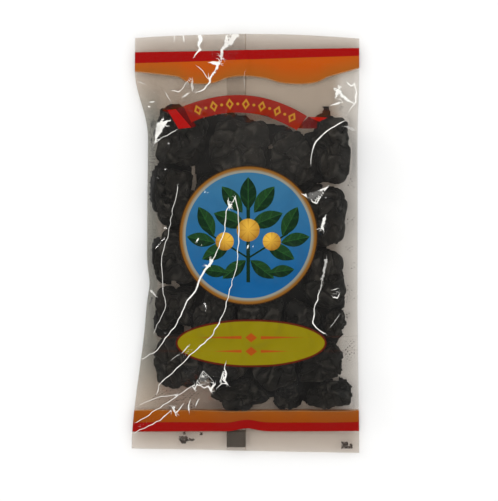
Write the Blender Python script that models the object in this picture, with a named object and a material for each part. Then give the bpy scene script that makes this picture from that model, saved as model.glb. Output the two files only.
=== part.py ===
"""Sealed pillow bag of dried black tamarind rind, lying on its back.

Metres, +Z up. +Y runs to the top of the bag and +X to its right, seen from the
printed front. The origin is under the middle of the bag, on the surface it lies on.
The bag is one web of film, folded into a tube: its two edges meet in a fin seal on
the back, folded flat, and both ends are pressed shut. The rinds lie loose inside.
"""

import math
import random

import bmesh
import bpy
import numpy as np
from mathutils import Euler, Matrix, Vector, noise

# Bag, laid flat
BAG_LENGTH = 0.242
BAG_WIDTH = 0.1328
FILM = 0.0003
LAYER_GAP = 0.0003
PITCH = FILM + LAYER_GAP
FIN_WIDTH = 0.011
FIN_SLOPE = 0.004
TOP_SEAL = 0.012
BOTTOM_SEAL = 0.0105

# Outline: the filled middle pulls the sides in, and the ends are a little bowed
LEFT_PULL = 0.008
RIGHT_PULL = 0.001
TOP_NARROWING = 0.002
PULL_ENDS = (-0.125, -0.020, 0.062, 0.102)
TOP_BOW = 0.0026
BOTTOM_SLANT = 0.00135

# Back panel: flat where it lies, lifted along the sides and at both seals
EDGE_LIFT = 0.0045
EDGE_WAVE = 0.0006
EDGE_WAVES = 1.5
SIDE_FLAT = 0.70
BOTTOM_RISE = 0.016
TOP_RISE = 0.040

# Mesh of the film
FRONT_COLUMNS = 19
CROWDING = 0.06
BACK_COLUMNS = 8
PILLOW_ROWS = 28
FOLD_POINTS = 2
RELAX_STEPS = 500

# Rinds
FLOOR_GAP = 0.0019
RIND_GAP = 0.0006
SIDE_GAP = 0.0042
FILM_CLEARANCE = 0.0012
LONGEST_REACH = 0.06
REACH_STEPS = 18
MERIDIANS = 18
RINGS = 9
CROWDED_SWELL = 0.38
GROOVES = 6
GROOVE_DEPTH = 0.30
GROOVE_LEAST = 0.55
GROOVE_SPREAD = 0.9
GROOVE_WANDER = 0.5
LUMP_DEPTH = 0.40
LUMP_TURNS = 1.6
BUMP_TURNS = 3.5
BUMP_SHARE = 0.4
TIP_TAPER = 0.16
SOFTNESS = 13
NEIGHBOURHOOD = 1.6
TILT = math.radians(12)
NOISE_STEP = Vector((3.7, 1.9, 2.3))
SEED = 7
MM = 0.001

# One row for each rind, in millimetres and degrees:
# x and y of its middle, length, width, height, and the turn of its length from +X
RINDS = (
    (-38.4, 62.0, 38, 35, 18, 60),
    (-1.5, 55.0, 43, 37, 20, 10),
    (51.0, 56.0, 42, 28, 19, 80),
    (26.0, 50.5, 34, 31, 20, 130),
    (-44.0, 29.5, 33, 29, 16, 100),
    (-17.5, 22.5, 34, 32, 22, 35),
    (11.4, 23.5, 34, 32, 21, 150),
    (43.5, 16.0, 38, 31, 19, 75),
    (-40.5, -9.0, 32, 30, 17, 15),
    (-13.5, -11.0, 34, 31, 22, 110),
    (15.6, -10.5, 35, 32, 23, 55),
    (45.5, -21.0, 37, 25, 17, 95),
    (-41.0, -37.0, 30, 28, 16, 145),
    (-17.5, -43.5, 33, 30, 21, 70),
    (8.0, -43.5, 34, 31, 22, 20),
    (31.5, -48.0, 31, 27, 19, 115),
    (51.5, -46.5, 20, 17, 12, 40),
    (-39.0, -68.0, 36, 31, 17, 55),
    (-11.0, -68.0, 32, 29, 19, 165),
    (16.5, -70.0, 33, 30, 19, 85),
    (44.0, -69.0, 31, 28, 17, 25),
    (-2.5, -87.5, 36, 21, 14, 5),
    (24.0, -89.5, 18, 15, 10, 90),
    (49.0, -87.0, 34, 21, 13, 170),
)

# Colours and roughness
FILM_COLOUR = (0.62, 0.58, 0.53)
FILM_ALPHA = 0.35
FILM_ROUGHNESS = 0.12
RIND_COLOUR = (0.022, 0.020, 0.018)
RIND_ROUGHNESS = 0.55


def smooth_step(value, low, high):
    """0 up to low, 1 from high on, and an even S between them."""
    t = np.clip((value - low) / (high - low), 0, 1)
    return t * t * (3 - 2 * t)


def side_folds(y):
    """x of the bag's left and right side folds at the flat length y."""
    start, full, ease, end = PULL_ENDS
    pull = smooth_step(y, start, full) * (1 - smooth_step(y, ease, end))
    narrowing = TOP_NARROWING * (y / BAG_LENGTH + 0.5)
    left = -BAG_WIDTH / 2 + LEFT_PULL * pull + narrowing
    right = BAG_WIDTH / 2 - RIGHT_PULL * pull
    return left, right


def end_edges(x):
    """y of the bag's cut bottom and top edges at x."""
    across = x / (BAG_WIDTH / 2)
    bottom = -BAG_LENGTH / 2 - BOTTOM_SLANT * across
    top = BAG_LENGTH / 2 + BOTTOM_SLANT - TOP_BOW * across**2
    return bottom, top


def to_world_y(x, y):
    """Where the flat length y comes to lie, between the bowed ends."""
    bottom, top = end_edges(x)
    return bottom + (top - bottom) * (y / BAG_LENGTH + 0.5)


def to_flat_y(x, world_y):
    """The flat length that comes to lie at world_y."""
    bottom, top = end_edges(x)
    return ((world_y - bottom) / (top - bottom) - 0.5) * BAG_LENGTH


def back_height(x, y):
    """Height of the back panel's middle surface over the table."""
    left, right = side_folds(y)
    across = np.abs(2 * x - left - right) / (right - left)
    side = np.clip((across - SIDE_FLAT) / (1 - SIDE_FLAT), 0, 1) ** 2
    above_bottom = y + BAG_LENGTH / 2 - BOTTOM_SEAL
    below_top = BAG_LENGTH / 2 - TOP_SEAL - y
    end = np.maximum(1 - above_bottom / BOTTOM_RISE, 1 - below_top / TOP_RISE)
    end = np.clip(end, 0, 1) ** 2
    lifted = 1 - (1 - side) * (1 - end)
    lift = EDGE_LIFT + EDGE_WAVE * np.sin(2 * math.pi * EDGE_WAVES * x / BAG_WIDTH)
    return FILM / 2 + lift * lifted


def fin_stack(x):
    """Share of the folded fin's height that lies under the left back panel."""
    left_side = smooth_step(x, -FIN_WIDTH - FIN_SLOPE, -FIN_WIDTH)
    return left_side * (x <= 0)


def front_over_fin(x):
    """The same under the front panel, which slopes down past both edges of the fin."""
    right_side = 1 - smooth_step(x, FILM, FIN_SLOPE)
    return smooth_step(x, -FIN_WIDTH - FIN_SLOPE, -FIN_WIDTH) * right_side


def rind_frames():
    """(middle, turning matrix, half sizes) of each rind."""
    draw = random.Random(SEED)
    frames = []
    for x, y, length, width, height, turn in RINDS:
        half = Vector((length, width, height)) * MM / 2
        ground = float(back_height(np.array(x * MM), np.array(y * MM)))
        middle = Vector((x * MM, y * MM, ground + FLOOR_GAP + half.z))
        tilt = Euler((draw.uniform(-TILT, TILT), draw.uniform(-TILT, TILT), 0))
        turning = Matrix.Rotation(math.radians(turn), 3, "Z") @ tilt.to_matrix()
        frames.append((middle, turning, half))
    return frames


def ellipsoid_reach(direction, frame):
    """How far a rind's plain ellipsoid reaches along a unit direction."""
    _, turning, half = frame
    local = turning.transposed() @ direction
    return 1 / math.sqrt(sum((local[i] / half[i]) ** 2 for i in range(3)))


def neighbour_walls(index, frames):
    """(normal, distance) of the planes that part a rind from its neighbours."""
    middle = frames[index][0]
    walls = []
    for other, frame in enumerate(frames):
        if other == index:
            continue
        between = frame[0] - middle
        apart = between.length
        normal = between / apart
        mine = ellipsoid_reach(normal, frames[index])
        theirs = ellipsoid_reach(-normal, frame)
        if apart < NEIGHBOURHOOD * (mine + theirs):
            walls.append((normal, apart * mine / (mine + theirs) - RIND_GAP / 2))
    return walls


def fold_walls(middle):
    """The same for the bag's two side folds."""
    left, right = side_folds(middle.y)
    return [
        (Vector((-1, 0, 0)), float(middle.x - left) - SIDE_GAP),
        (Vector((1, 0, 0)), float(right - middle.x) - SIDE_GAP),
    ]


def reach_to_back(middle, direction):
    """How far a ray runs from a rind's middle before it comes to the back panel."""
    low, high = 0.0, LONGEST_REACH
    for _ in range(REACH_STEPS):
        reach = (low + high) / 2
        point = middle + direction * reach
        ground = back_height(np.array(point.x), np.array(point.y))
        if point.z > float(ground) + FLOOR_GAP:
            low = reach
        else:
            high = reach
    return low


def shrinkage(direction, offset):
    """Share of its reach that the dried skin has drawn in: grooves from pole to pole, and dents."""
    along = direction.z
    around = math.atan2(direction.y, direction.x)
    around += GROOVE_WANDER * noise.noise(direction * LUMP_TURNS - offset)
    ring = Vector((math.cos(around), math.sin(around), 0))
    groove = max(0.0, math.cos(GROOVES * around)) * (1 - along**4)
    groove *= max(0.0, GROOVE_LEAST + GROOVE_SPREAD * noise.noise(ring * LUMP_TURNS + offset))
    dents = noise.noise(direction * LUMP_TURNS + offset)
    dents += BUMP_SHARE * noise.noise(direction * BUMP_TURNS + offset)
    return GROOVE_DEPTH * groove + LUMP_DEPTH * max(0.0, dents)


def rind_point(direction, frame, neighbours, offset):
    """A point of a rind's skin; direction's Z runs along the rind's length."""
    middle, turning, _ = frame
    world = (turning @ Vector((direction.z, direction.x, direction.y))).normalized()
    own = ellipsoid_reach(world, frame)
    own *= 1 - TIP_TAPER * max(0.0, direction.z) ** 6
    # A rind is pressed out towards its neighbours, and keeps its own edge elsewhere.
    crowded = max((world.dot(normal) for normal, _ in neighbours), default=0)
    own *= 1 + CROWDED_SWELL * max(0.0, crowded) ** 2
    reaches = [own, reach_to_back(middle, world)]
    for normal, distance in neighbours + fold_walls(middle):
        facing = world.dot(normal)
        if facing * LONGEST_REACH > distance:
            reaches.append(distance / facing)
    reach = sum(r**-SOFTNESS for r in reaches) ** (-1 / SOFTNESS)
    return middle + world * reach * (1 - shrinkage(direction, offset))


def make_object(name, mesh, material):
    mesh.materials.append(material)
    made = bpy.data.objects.new(name, mesh)
    bpy.context.scene.collection.objects.link(made)
    return made


def plain_material(name, colour, roughness, alpha=1.0):
    material = bpy.data.materials.new(name)
    material.use_nodes = True
    shader = material.node_tree.nodes["Principled BSDF"]
    shader.inputs["Base Color"].default_value = (*colour, 1)
    shader.inputs["Roughness"].default_value = roughness
    shader.inputs["Metallic"].default_value = 0
    shader.inputs["Alpha"].default_value = alpha
    return material


def make_rinds(material):
    """One closed body for each rind; returns them all."""
    frames = rind_frames()
    rinds = []
    for index, frame in enumerate(frames):
        neighbours = neighbour_walls(index, frames)
        offset = NOISE_STEP * index
        shape = bmesh.new()
        bmesh.ops.create_uvsphere(shape, u_segments=MERIDIANS, v_segments=RINGS, radius=1)
        for vertex in shape.verts:
            vertex.co = rind_point(vertex.co.normalized(), frame, neighbours, offset)
        mesh = bpy.data.meshes.new("rind")
        shape.to_mesh(mesh)
        shape.free()
        mesh.shade_smooth()
        rinds.append(make_object(f"rind_{index + 1:02d}", mesh, material))
    return rinds


def grid_rows():
    """Flat lengths of the film's rows: two across each seal, the rest in the pillow."""
    low, high = -BAG_LENGTH / 2, BAG_LENGTH / 2
    pillow = np.linspace(low + BOTTOM_SEAL, high - TOP_SEAL, PILLOW_ROWS)
    return np.concatenate([[low], pillow, [high]])


def column_shares():
    """Places of the front's columns across the bag, closer together near its sides."""
    even = np.linspace(0, 1, FRONT_COLUMNS)
    return even - CROWDING * np.sin(2 * math.pi * even)


def grid_cells(points, rows):
    """Row, column and shares of the front grid's cell that each point lies over."""
    flat_y = to_flat_y(points[:, 0], points[:, 1])
    left, right = side_folds(flat_y)
    share = (points[:, 0] - left - PITCH / 2) / (right - left - PITCH)
    column = np.interp(share, column_shares(), np.arange(FRONT_COLUMNS))
    row = np.interp(flat_y, rows, np.arange(len(rows)))
    j = np.clip(row.astype(int), 0, len(rows) - 2)
    k = np.clip(column.astype(int), 0, FRONT_COLUMNS - 2)
    return j, k, row - j, column - k


def lift_over(front, cells, wanted):
    """Raises the corners of each cell whose film lies under a rind's point."""
    j, k, v, u = cells
    now = (front[j, k] * (1 - u) + front[j, k + 1] * u) * (1 - v)
    now += (front[j + 1, k] * (1 - u) + front[j + 1, k + 1] * u) * v
    missing = np.maximum(wanted - now, 0)
    raised = np.zeros_like(front)
    for down in (0, 1):
        for over in (0, 1):
            np.maximum.at(raised, (j + down, k + over), missing)
    return front + raised


def skin_points(rinds):
    """Every corner and edge middle of the rinds, which the film has to clear."""
    found = []
    for rind in rinds:
        corners = np.array([v.co[:] for v in rind.data.vertices])
        edges = np.array([e.vertices[:] for e in rind.data.edges])
        found += [corners, corners[edges].mean(axis=1)]
    return np.concatenate(found)


def front_surface(rinds, rows):
    """x, y and height of the front panel's grid, drawn tight over the rinds."""
    left, right = side_folds(rows)
    inner = PITCH / 2
    x = (left + inner)[:, None] + np.outer(right - left - PITCH, column_shares())
    y = np.broadcast_to(rows[:, None], x.shape)
    lowest = back_height(x, y) + PITCH + 2 * PITCH * front_over_fin(x)
    points = skin_points(rinds)
    cells = grid_cells(points, rows)
    wanted = points[:, 2] + FILM_CLEARANCE
    front = lowest.copy()
    # The seals' rows and the side folds stay pressed shut; the rest is free.
    free = (slice(2, -2), slice(1, -1))
    for _ in range(RELAX_STEPS):
        around = front[3:-1, 1:-1] + front[1:-3, 1:-1] + front[2:-2, 2:] + front[2:-2, :-2]
        front[free] = np.maximum(around / 4, lowest[free])
        front[free] = lift_over(front, cells, wanted)[free]
    return x, front


def fold_points(x, low, high, outward):
    """The points of a half-round fold at x, from height low to height high."""
    middle, radius = (low + high) / 2, (high - low) / 2
    for n in range(1, FOLD_POINTS + 1):
        angle = math.pi * (n / (FOLD_POINTS + 1) - 0.5)
        yield x + outward * abs(radius) * math.cos(angle), middle + radius * math.sin(angle)


def web_section(y, front_x, front_z):
    """(x, z) along the web at one row, from the fin's outer edge to its inner one."""
    left, right = side_folds(y)
    inner = PITCH / 2
    left_x, right_x = left + inner, right - inner
    outer_fin = np.array([-FIN_WIDTH, -FIN_WIDTH / 2])
    right_back = np.linspace(0, right_x, BACK_COLUMNS)
    left_back = np.concatenate(
        [
            np.linspace(left_x, -FIN_WIDTH - FIN_SLOPE, BACK_COLUMNS - 3),
            [-FIN_WIDTH, -FIN_WIDTH / 2, 0],
        ]
    )
    section = [(x, back_height(x, y)) for x in np.concatenate([outer_fin, right_back])]
    low = section[-1][1]
    section += fold_points(right_x, low, front_z[-1], 1)
    section += zip(front_x[::-1], front_z[::-1])
    low = back_height(left_x, y)
    section += fold_points(left_x, front_z[0], low, -1)
    section += [(x, back_height(x, y) + 2 * PITCH * fin_stack(x)) for x in left_back]
    middle = back_height(0.0, y)
    section += fold_points(0.0, middle + 2 * PITCH, middle + PITCH, 1)
    section += [(x, back_height(x, y) + PITCH) for x in (0.0, -FIN_WIDTH / 2, -FIN_WIDTH)]
    return section


def make_film(rinds, material):
    """The whole bag as one sheet of film, thickened by a Solidify."""
    rows = grid_rows()
    front_x, front_z = front_surface(rinds, rows)
    shape = bmesh.new()
    lines = []
    for j, y in enumerate(rows):
        section = web_section(y, front_x[j], front_z[j])
        lines.append([shape.verts.new((x, to_world_y(x, y), z)) for x, z in section])
    for near, far in zip(lines, lines[1:]):
        for c in range(len(near) - 1):
            shape.faces.new((near[c], near[c + 1], far[c + 1], far[c]))
    bmesh.ops.recalc_face_normals(shape, faces=shape.faces)
    mesh = bpy.data.meshes.new("film")
    shape.to_mesh(mesh)
    shape.free()
    mesh.shade_smooth()
    film = make_object("film", mesh, material)
    thickness = film.modifiers.new("Film thickness", "SOLIDIFY")
    thickness.thickness = FILM
    thickness.offset = 0
    return film


def clear_scene():
    for old in list(bpy.data.objects):
        bpy.data.objects.remove(old)


clear_scene()
rind_skin = plain_material("rind", RIND_COLOUR, RIND_ROUGHNESS)
clear_film = plain_material("film", FILM_COLOUR, FILM_ROUGHNESS, FILM_ALPHA)
make_film(make_rinds(rind_skin), clear_film)
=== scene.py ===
"""Sealed clear bag of dried black tamarind rind, lying on its back.

Metres, in the part's own frame: +Y runs to the top of the bag, +X to its right and +Z up.
"""

import math

import bmesh
import bpy
import numpy as np
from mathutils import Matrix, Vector, noise
from mathutils.bvhtree import BVHTree


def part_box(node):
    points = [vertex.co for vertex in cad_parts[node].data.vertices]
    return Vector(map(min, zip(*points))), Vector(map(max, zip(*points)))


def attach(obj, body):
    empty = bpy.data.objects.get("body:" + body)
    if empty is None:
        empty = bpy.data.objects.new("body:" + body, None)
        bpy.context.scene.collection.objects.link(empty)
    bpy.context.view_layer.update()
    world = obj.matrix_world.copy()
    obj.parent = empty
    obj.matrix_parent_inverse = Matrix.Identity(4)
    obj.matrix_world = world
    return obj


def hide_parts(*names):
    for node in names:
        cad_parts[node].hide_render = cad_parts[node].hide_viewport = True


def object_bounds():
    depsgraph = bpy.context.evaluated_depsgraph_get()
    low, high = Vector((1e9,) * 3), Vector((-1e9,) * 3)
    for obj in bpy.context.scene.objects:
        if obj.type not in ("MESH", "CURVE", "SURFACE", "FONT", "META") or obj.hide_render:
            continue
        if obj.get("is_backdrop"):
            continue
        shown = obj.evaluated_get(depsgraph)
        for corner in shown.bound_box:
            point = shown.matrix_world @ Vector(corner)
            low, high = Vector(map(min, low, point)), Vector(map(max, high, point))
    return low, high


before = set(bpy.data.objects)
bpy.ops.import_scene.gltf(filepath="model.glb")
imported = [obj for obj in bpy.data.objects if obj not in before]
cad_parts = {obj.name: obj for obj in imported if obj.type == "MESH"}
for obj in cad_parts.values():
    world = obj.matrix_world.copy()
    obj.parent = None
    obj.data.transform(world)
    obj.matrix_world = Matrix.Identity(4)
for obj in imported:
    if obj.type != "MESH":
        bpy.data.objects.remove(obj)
cad_low, cad_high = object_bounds()
MM = 0.001


# Rinds: pieces of sun-dried fruit rind, black and leathery, packed loose. Each keeps the form
# of its solid, rounded off, and is then folded and wrinkled inwards only, so that it stays
# clear of its neighbours and of the film.

ROUNDING_LEVELS = 3
FITTING_STEPS = 3
FOLD_DEPTH = 2.6 * MM
FOLD_TURNS = 1.6
FOLD_SHARPNESS = 14
BUCKLE_DEPTH = 0.9 * MM
BUCKLE_TURNS = 3.2
WRINKLE_DEPTH = 0.45 * MM
WRINKLE_TURNS = 6.0
WRINKLE_SHARPNESS = 5
GRAIN_DEPTH = 0.10 * MM
GRAIN_SIZE = 1.3 * MM
RIND_OFFSET = Vector((4.1, 2.7, 1.3))
RIND_SEED = 11
BEND = 0.4
BEND_TURNS = 1.8
RIND_BLACK = (0.0094, 0.0102, 0.0094)
RIND_BROWN = (0.0200, 0.0186, 0.0154)
RIND_CREST_HIGHLIGHT = (0.062, 0.062, 0.056)
RIND_FOLD_SHADE = (0.004, 0.004, 0.004)
RIND_BLOOM = (0.14, 0.14, 0.12)
RIND_PITTING = 0.6 * MM
SAME_SPOT = 0.001 * MM
NEARLY_FLAT = math.radians(50)


class Field:
    """A number that changes over a surface: a shader socket that sums can be written with."""

    def __init__(self, socket):
        self.socket = socket
        self.tree = socket.id_data

    def math(self, operation, *others, clamp=False):
        node = self.tree.nodes.new("ShaderNodeMath")
        node.operation = operation
        node.use_clamp = clamp
        for slot, value in zip(node.inputs, (self, *others)):
            plug(slot, value)
        return Field(node.outputs[0])

    def __add__(self, other):
        return self.math("ADD", other)

    def __radd__(self, other):
        return self.math("ADD", other)

    def __sub__(self, other):
        return self.math("SUBTRACT", other)

    def __rsub__(self, other):
        return self.math("MULTIPLY", -1).math("ADD", other)

    def __mul__(self, other):
        return self.math("MULTIPLY", other)

    def __rmul__(self, other):
        return self.math("MULTIPLY", other)

    def __truediv__(self, other):
        return self.math("DIVIDE", other)

    def __abs__(self):
        return self.math("ABSOLUTE")

    def clamp(self):
        return self.math("ADD", 0, clamp=True)

    def rise(self, low, high):
        """0 at low, 1 at high, with an even S between them."""
        node = self.tree.nodes.new("ShaderNodeMapRange")
        node.interpolation_type = "SMOOTHSTEP"
        plug(node.inputs["Value"], self)
        plug(node.inputs["From Min"], low)
        plug(node.inputs["From Max"], high)
        return Field(node.outputs["Result"])


def plug(slot, value):
    """Links a field or a socket to an input, or sets a plain value on it."""
    if isinstance(value, Field):
        value = value.socket
    if isinstance(value, bpy.types.NodeSocket):
        slot.id_data.links.new(value, slot)
    elif isinstance(value, tuple) and len(value) == 3 and slot.type == "RGBA":
        slot.default_value = (*value, 1)
    else:
        slot.default_value = value


def add_node(tree, kind, inputs=None, **settings):
    """A new node with its settings and its inputs, given by name or number."""
    node = tree.nodes.new(kind)
    for name, value in settings.items():
        setattr(node, name, value)
    for name, value in (inputs or {}).items():
        plug(node.inputs[name], value)
    return node


def blend(tree, share, first, second):
    """The colour first, or second where share is 1."""
    node = tree.nodes.new("ShaderNodeMix")
    node.data_type = "RGBA"
    plug(node.inputs[0], share)
    plug(node.inputs[6], first)
    plug(node.inputs[7], second)
    return node.outputs[2]


def cloudy(tree, place, scale, detail=2.0, roughness=0.5):
    """Noise from 0 to 1 over the place given."""
    node = add_node(
        tree,
        "ShaderNodeTexNoise",
        {"Vector": place, "Scale": scale, "Detail": detail, "Roughness": roughness},
    )
    return Field(node.outputs[0])


def linear(red, green, blue):
    """A colour given as 0 to 255, as the eye reads it, in linear light."""
    shares = (value / 255 for value in (red, green, blue))
    return tuple(s / 12.92 if s < 0.0404 else ((s + 0.055) / 1.055) ** 2.4 for s in shares)


def empty_material(name):
    material = bpy.data.materials.new(name)
    material.use_nodes = True
    material.node_tree.nodes.clear()
    return material, material.node_tree


def object_place(tree):
    return tree.nodes.new("ShaderNodeTexCoord").outputs["Object"]


def attribute(tree, name, output="Fac"):
    """A value kept on the mesh under a name."""
    return add_node(tree, "ShaderNodeAttribute", attribute_name=name).outputs[output]


def make_rind_material():
    """Matt black skin, browner in patches, with a dusty bloom, painted highlight that makes its crests
    greyer and painted shade that darkens its folds.
    """
    material, tree = empty_material("dried_rind")
    place = object_place(tree)
    fold = Field(attribute(tree, "fold"))
    crest_highlight = Field(attribute(tree, "crest_highlight"))
    patches = cloudy(tree, place, 90, 3)
    specks = cloudy(tree, place, 800, 2)
    colour = blend(tree, patches.rise(0.40, 0.70), RIND_BLACK, RIND_BROWN)
    # Painted highlight: greyer on the crests. Painted shade: darker in the folds.
    colour = blend(tree, crest_highlight.rise(0.50, 0.76) * 0.62, colour, RIND_CREST_HIGHLIGHT)
    colour = blend(tree, fold.rise(0.45, 1) * 0.5, colour, RIND_FOLD_SHADE)
    bloom = specks.rise(0.60, 0.78) * patches.rise(0.42, 0.62) * 0.14
    colour = blend(tree, bloom, colour, RIND_BLOOM)
    height = cloudy(tree, place, 300, 4, 0.55)
    bump = add_node(
        tree, "ShaderNodeBump", {"Strength": 0.4, "Distance": RIND_PITTING, "Height": height}
    )
    shader = add_node(
        tree,
        "ShaderNodeBsdfPrincipled",
        {
            "Base Color": colour,
            "Roughness": 0.34 + 0.30 * cloudy(tree, place, 120, 2),
            "Specular IOR Level": 0.38,
            "Normal": bump.outputs[0],
        },
    )
    add_node(tree, "ShaderNodeOutputMaterial", {"Surface": shader.outputs[0]})
    return material


def merged_copy(node):
    """A CAD node's mesh as a new bmesh, its loose triangles merged and paired up."""
    shape = bmesh.new()
    shape.from_mesh(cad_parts[node].data)
    bmesh.ops.remove_doubles(shape, verts=shape.verts, dist=SAME_SPOT)
    bmesh.ops.join_triangles(
        shape,
        faces=shape.faces,
        angle_face_threshold=NEARLY_FLAT,
        angle_shape_threshold=NEARLY_FLAT,
    )
    return shape


def finished_mesh(name, shape):
    """A mesh from a bmesh, which is freed."""
    mesh = bpy.data.meshes.new(name)
    shape.to_mesh(mesh)
    shape.free()
    return mesh


def link_object(name, mesh):
    made = bpy.data.objects.new(name, mesh)
    bpy.context.scene.collection.objects.link(made)
    return made


def modified_mesh(made):
    """The object's mesh as its modifiers make it."""
    graph = bpy.context.evaluated_depsgraph_get()
    return bpy.data.meshes.new_from_object(made.evaluated_get(graph), depsgraph=graph)


def apply_modifiers(made):
    mesh = modified_mesh(made)
    made.modifiers.clear()
    made.data = mesh
    return mesh


def corner_places(mesh):
    places = np.empty(3 * len(mesh.vertices))
    mesh.vertices.foreach_get("co", places)
    return places


def round_off(rind):
    """Subdivides a rind, with its cage drawn out until the skin meets the solid's corners."""
    rounding = rind.modifiers.new("Rounding", "SUBSURF")
    rounding.levels = rounding.render_levels = ROUNDING_LEVELS
    corners = corner_places(rind.data)
    cage = corners.copy()
    for _ in range(FITTING_STEPS):
        skin = modified_mesh(rind)
        cage += corners - corner_places(skin)[: corners.size]
        bpy.data.meshes.remove(skin)
        rind.data.vertices.foreach_set("co", cage)
        rind.data.update()
    return apply_modifiers(rind)


def skin_depths(direction, offset):
    """(fold, buckle, wrinkle) of the dried skin, each 0 to 1, in a direction from the middle."""
    bent = direction + BEND * noise.noise_vector(direction * BEND_TURNS + offset)
    fold = (1 - abs(noise.noise(bent * FOLD_TURNS + offset))) ** FOLD_SHARPNESS
    buckle = 0.5 + 0.5 * noise.noise(bent * BUCKLE_TURNS - offset)
    wrinkle = (1 - abs(noise.noise(bent * WRINKLE_TURNS - offset))) ** WRINKLE_SHARPNESS
    return fold, buckle, wrinkle


def set_values(mesh, name, values):
    """Keeps one number for each corner of the mesh under a name."""
    mesh.attributes.new(name, "FLOAT", "POINT").data.foreach_set("value", values)


def make_rind(node, offset, material):
    """A rind's skin: its solid rounded off, then sunk along folds, buckles and wrinkles."""
    rind = link_object(node + "_skin", finished_mesh(node, merged_copy(node)))
    mesh = round_off(rind)
    low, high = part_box(node)
    middle = (low + high) / 2
    fold_shades, crest_highlights, moved = [], [], []
    for vertex in mesh.vertices:
        fold, buckle, wrinkle = skin_depths((vertex.co - middle).normalized(), offset)
        grain = 0.5 + 0.5 * noise.noise(vertex.co / GRAIN_SIZE)
        depth = FOLD_DEPTH * fold + BUCKLE_DEPTH * buckle
        depth += WRINKLE_DEPTH * wrinkle + GRAIN_DEPTH * grain
        moved.append(vertex.co - vertex.normal * depth)
        fold_shades.append(fold)
        crest_highlights.append((1 - buckle) * (1 - fold))
    for vertex, place in zip(mesh.vertices, moved):
        vertex.co = place
    # The fold and crest values feed the painted shade in the folds and the painted highlight on the
    # crests.
    set_values(mesh, "fold", fold_shades)
    set_values(mesh, "crest_highlight", crest_highlights)
    mesh.materials.clear()
    mesh.materials.append(material)
    mesh.shade_smooth()
    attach(rind, "root")
    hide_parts(node)


noise.seed_set(RIND_SEED)
rind_material = make_rind_material()
rind_nodes = sorted(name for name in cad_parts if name.startswith("rind_"))
for number, node in enumerate(rind_nodes):
    make_rind(node, RIND_OFFSET * number, rind_material)


# Torn pieces: larger flat pieces of the same rind, torn off when the fruit was opened. They lie
# loose on the back panel, under the whole ones and out to the sides of the bag.

# Form of the bag that they lie in
BAG_LENGTH = 242 * MM
BAG_WIDTH = 132.8 * MM
FILM = 0.2 * MM
PITCH = 0.6 * MM
FIN_WIDTH = 11 * MM
FIN_SLOPE = 4 * MM
TOP_SEAL = 12 * MM
BOTTOM_SEAL = 10.5 * MM
LEFT_PULL = 8 * MM
RIGHT_PULL = 1 * MM
TOP_NARROWING = 2 * MM
PULL_ENDS = (-122 * MM, -30 * MM, 62 * MM, 102 * MM)
DENT = 1.6 * MM
DENT_PLACE = -24 * MM
DENT_REACH = 9 * MM
TOP_BOW = 2.6 * MM
BOTTOM_SLANT = 1.35 * MM
EDGE_LIFT = 4.5 * MM
EDGE_WAVE = 0.6 * MM
EDGE_WAVES = 1.5
SIDE_FLAT = 0.70
BOTTOM_RISE = 16 * MM
TOP_RISE = 40 * MM
BED_RAMP = 20 * MM

TORN_THICKNESS = 1.1 * MM
TORN_THINNEST = 0.12
TORN_BULK = 0.38
TORN_LIFT = 1.3 * MM
TORN_RIM_LIFT = 0.45
TORN_STEP = 0.8 * MM
TORN_RIM = 1.6 * MM
TORN_RAGGED = 0.7 * MM
TORN_SEED_STEP = 3.7

# Outlines of the torn pieces, in millimetres
TORN_PIECES = (
    (
        (-50, 50), (-55, 42), (-56.3, 36), (-56.3, 26), (-54.5, 19), (-50, 16),
        (-44, 18), (-40, 34), (-31, 40), (-31.5, 46.5), (-40, 50),
    ),
    ((-51, 74), (-50, 79), (-45, 82), (-39, 82.5), (-35, 79), (-36, 72), (-45, 69)),
    (
        (-32, 61), (-31, 71), (-22, 75.5), (-10, 77), (0, 75.5), (6, 72), (14, 70.5), (25, 69),
        (30, 65), (31, 58), (2, 57), (-9, 44), (-14, 35), (-29, 35), (-30, 41), (-30, 53),
    ),
    ((37, 70), (42, 76), (45, 77.5), (45.5, 81), (49, 81), (50.5, 76), (54, 73), (57, 66), (48, 62)),
    ((46, 33), (52, 34.5), (54, 31), (53, 27), (50, 24), (44, 25)),
    (
        (-50, 4), (-54, 3), (-55.4, -3), (-55.2, -9), (-54, -14), (-53, -20),
        (-49.5, -24), (-43, -25), (-43, -12),
    ),
    (
        (-49, -38), (-53, -38.5), (-54.4, -44), (-54, -50), (-51.5, -55.5),
        (-43, -58), (-35, -56), (-36, -47), (-45, -44),
    ),
    ((53, 23), (56.4, 20), (58.4, 14), (58.6, 8), (57, 3), (53, -2), (51, 6), (51, 16)),
    (
        (55, -78), (59.7, -79.2), (62.2, -83), (63.2, -88), (62.3, -92),
        (60, -94.8), (54.9, -96.2), (50, -95), (49, -90), (53, -84),
    ),
)


def smooth_step(value, low, high):
    t = np.clip((value - low) / (high - low), 0, 1)
    return t * t * (3 - 2 * t)


def side_folds(y):
    """x of the bag's left and right side folds at the flat length y."""
    start, full, ease, end = PULL_ENDS
    pull = smooth_step(y, start, full) * (1 - smooth_step(y, ease, end))
    left = -BAG_WIDTH / 2 + LEFT_PULL * pull + TOP_NARROWING * (y / BAG_LENGTH + 0.5)
    left = left + DENT * np.exp(-(((y - DENT_PLACE) / DENT_REACH) ** 2))
    return left, BAG_WIDTH / 2 - RIGHT_PULL * pull


def to_world_y(x, y):
    """Where the flat length y comes to lie, between the bowed ends."""
    across = x / (BAG_WIDTH / 2)
    bottom = -BAG_LENGTH / 2 - BOTTOM_SLANT * across
    top = BAG_LENGTH / 2 + BOTTOM_SLANT - TOP_BOW * across**2
    return bottom + (top - bottom) * (y / BAG_LENGTH + 0.5)


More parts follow.
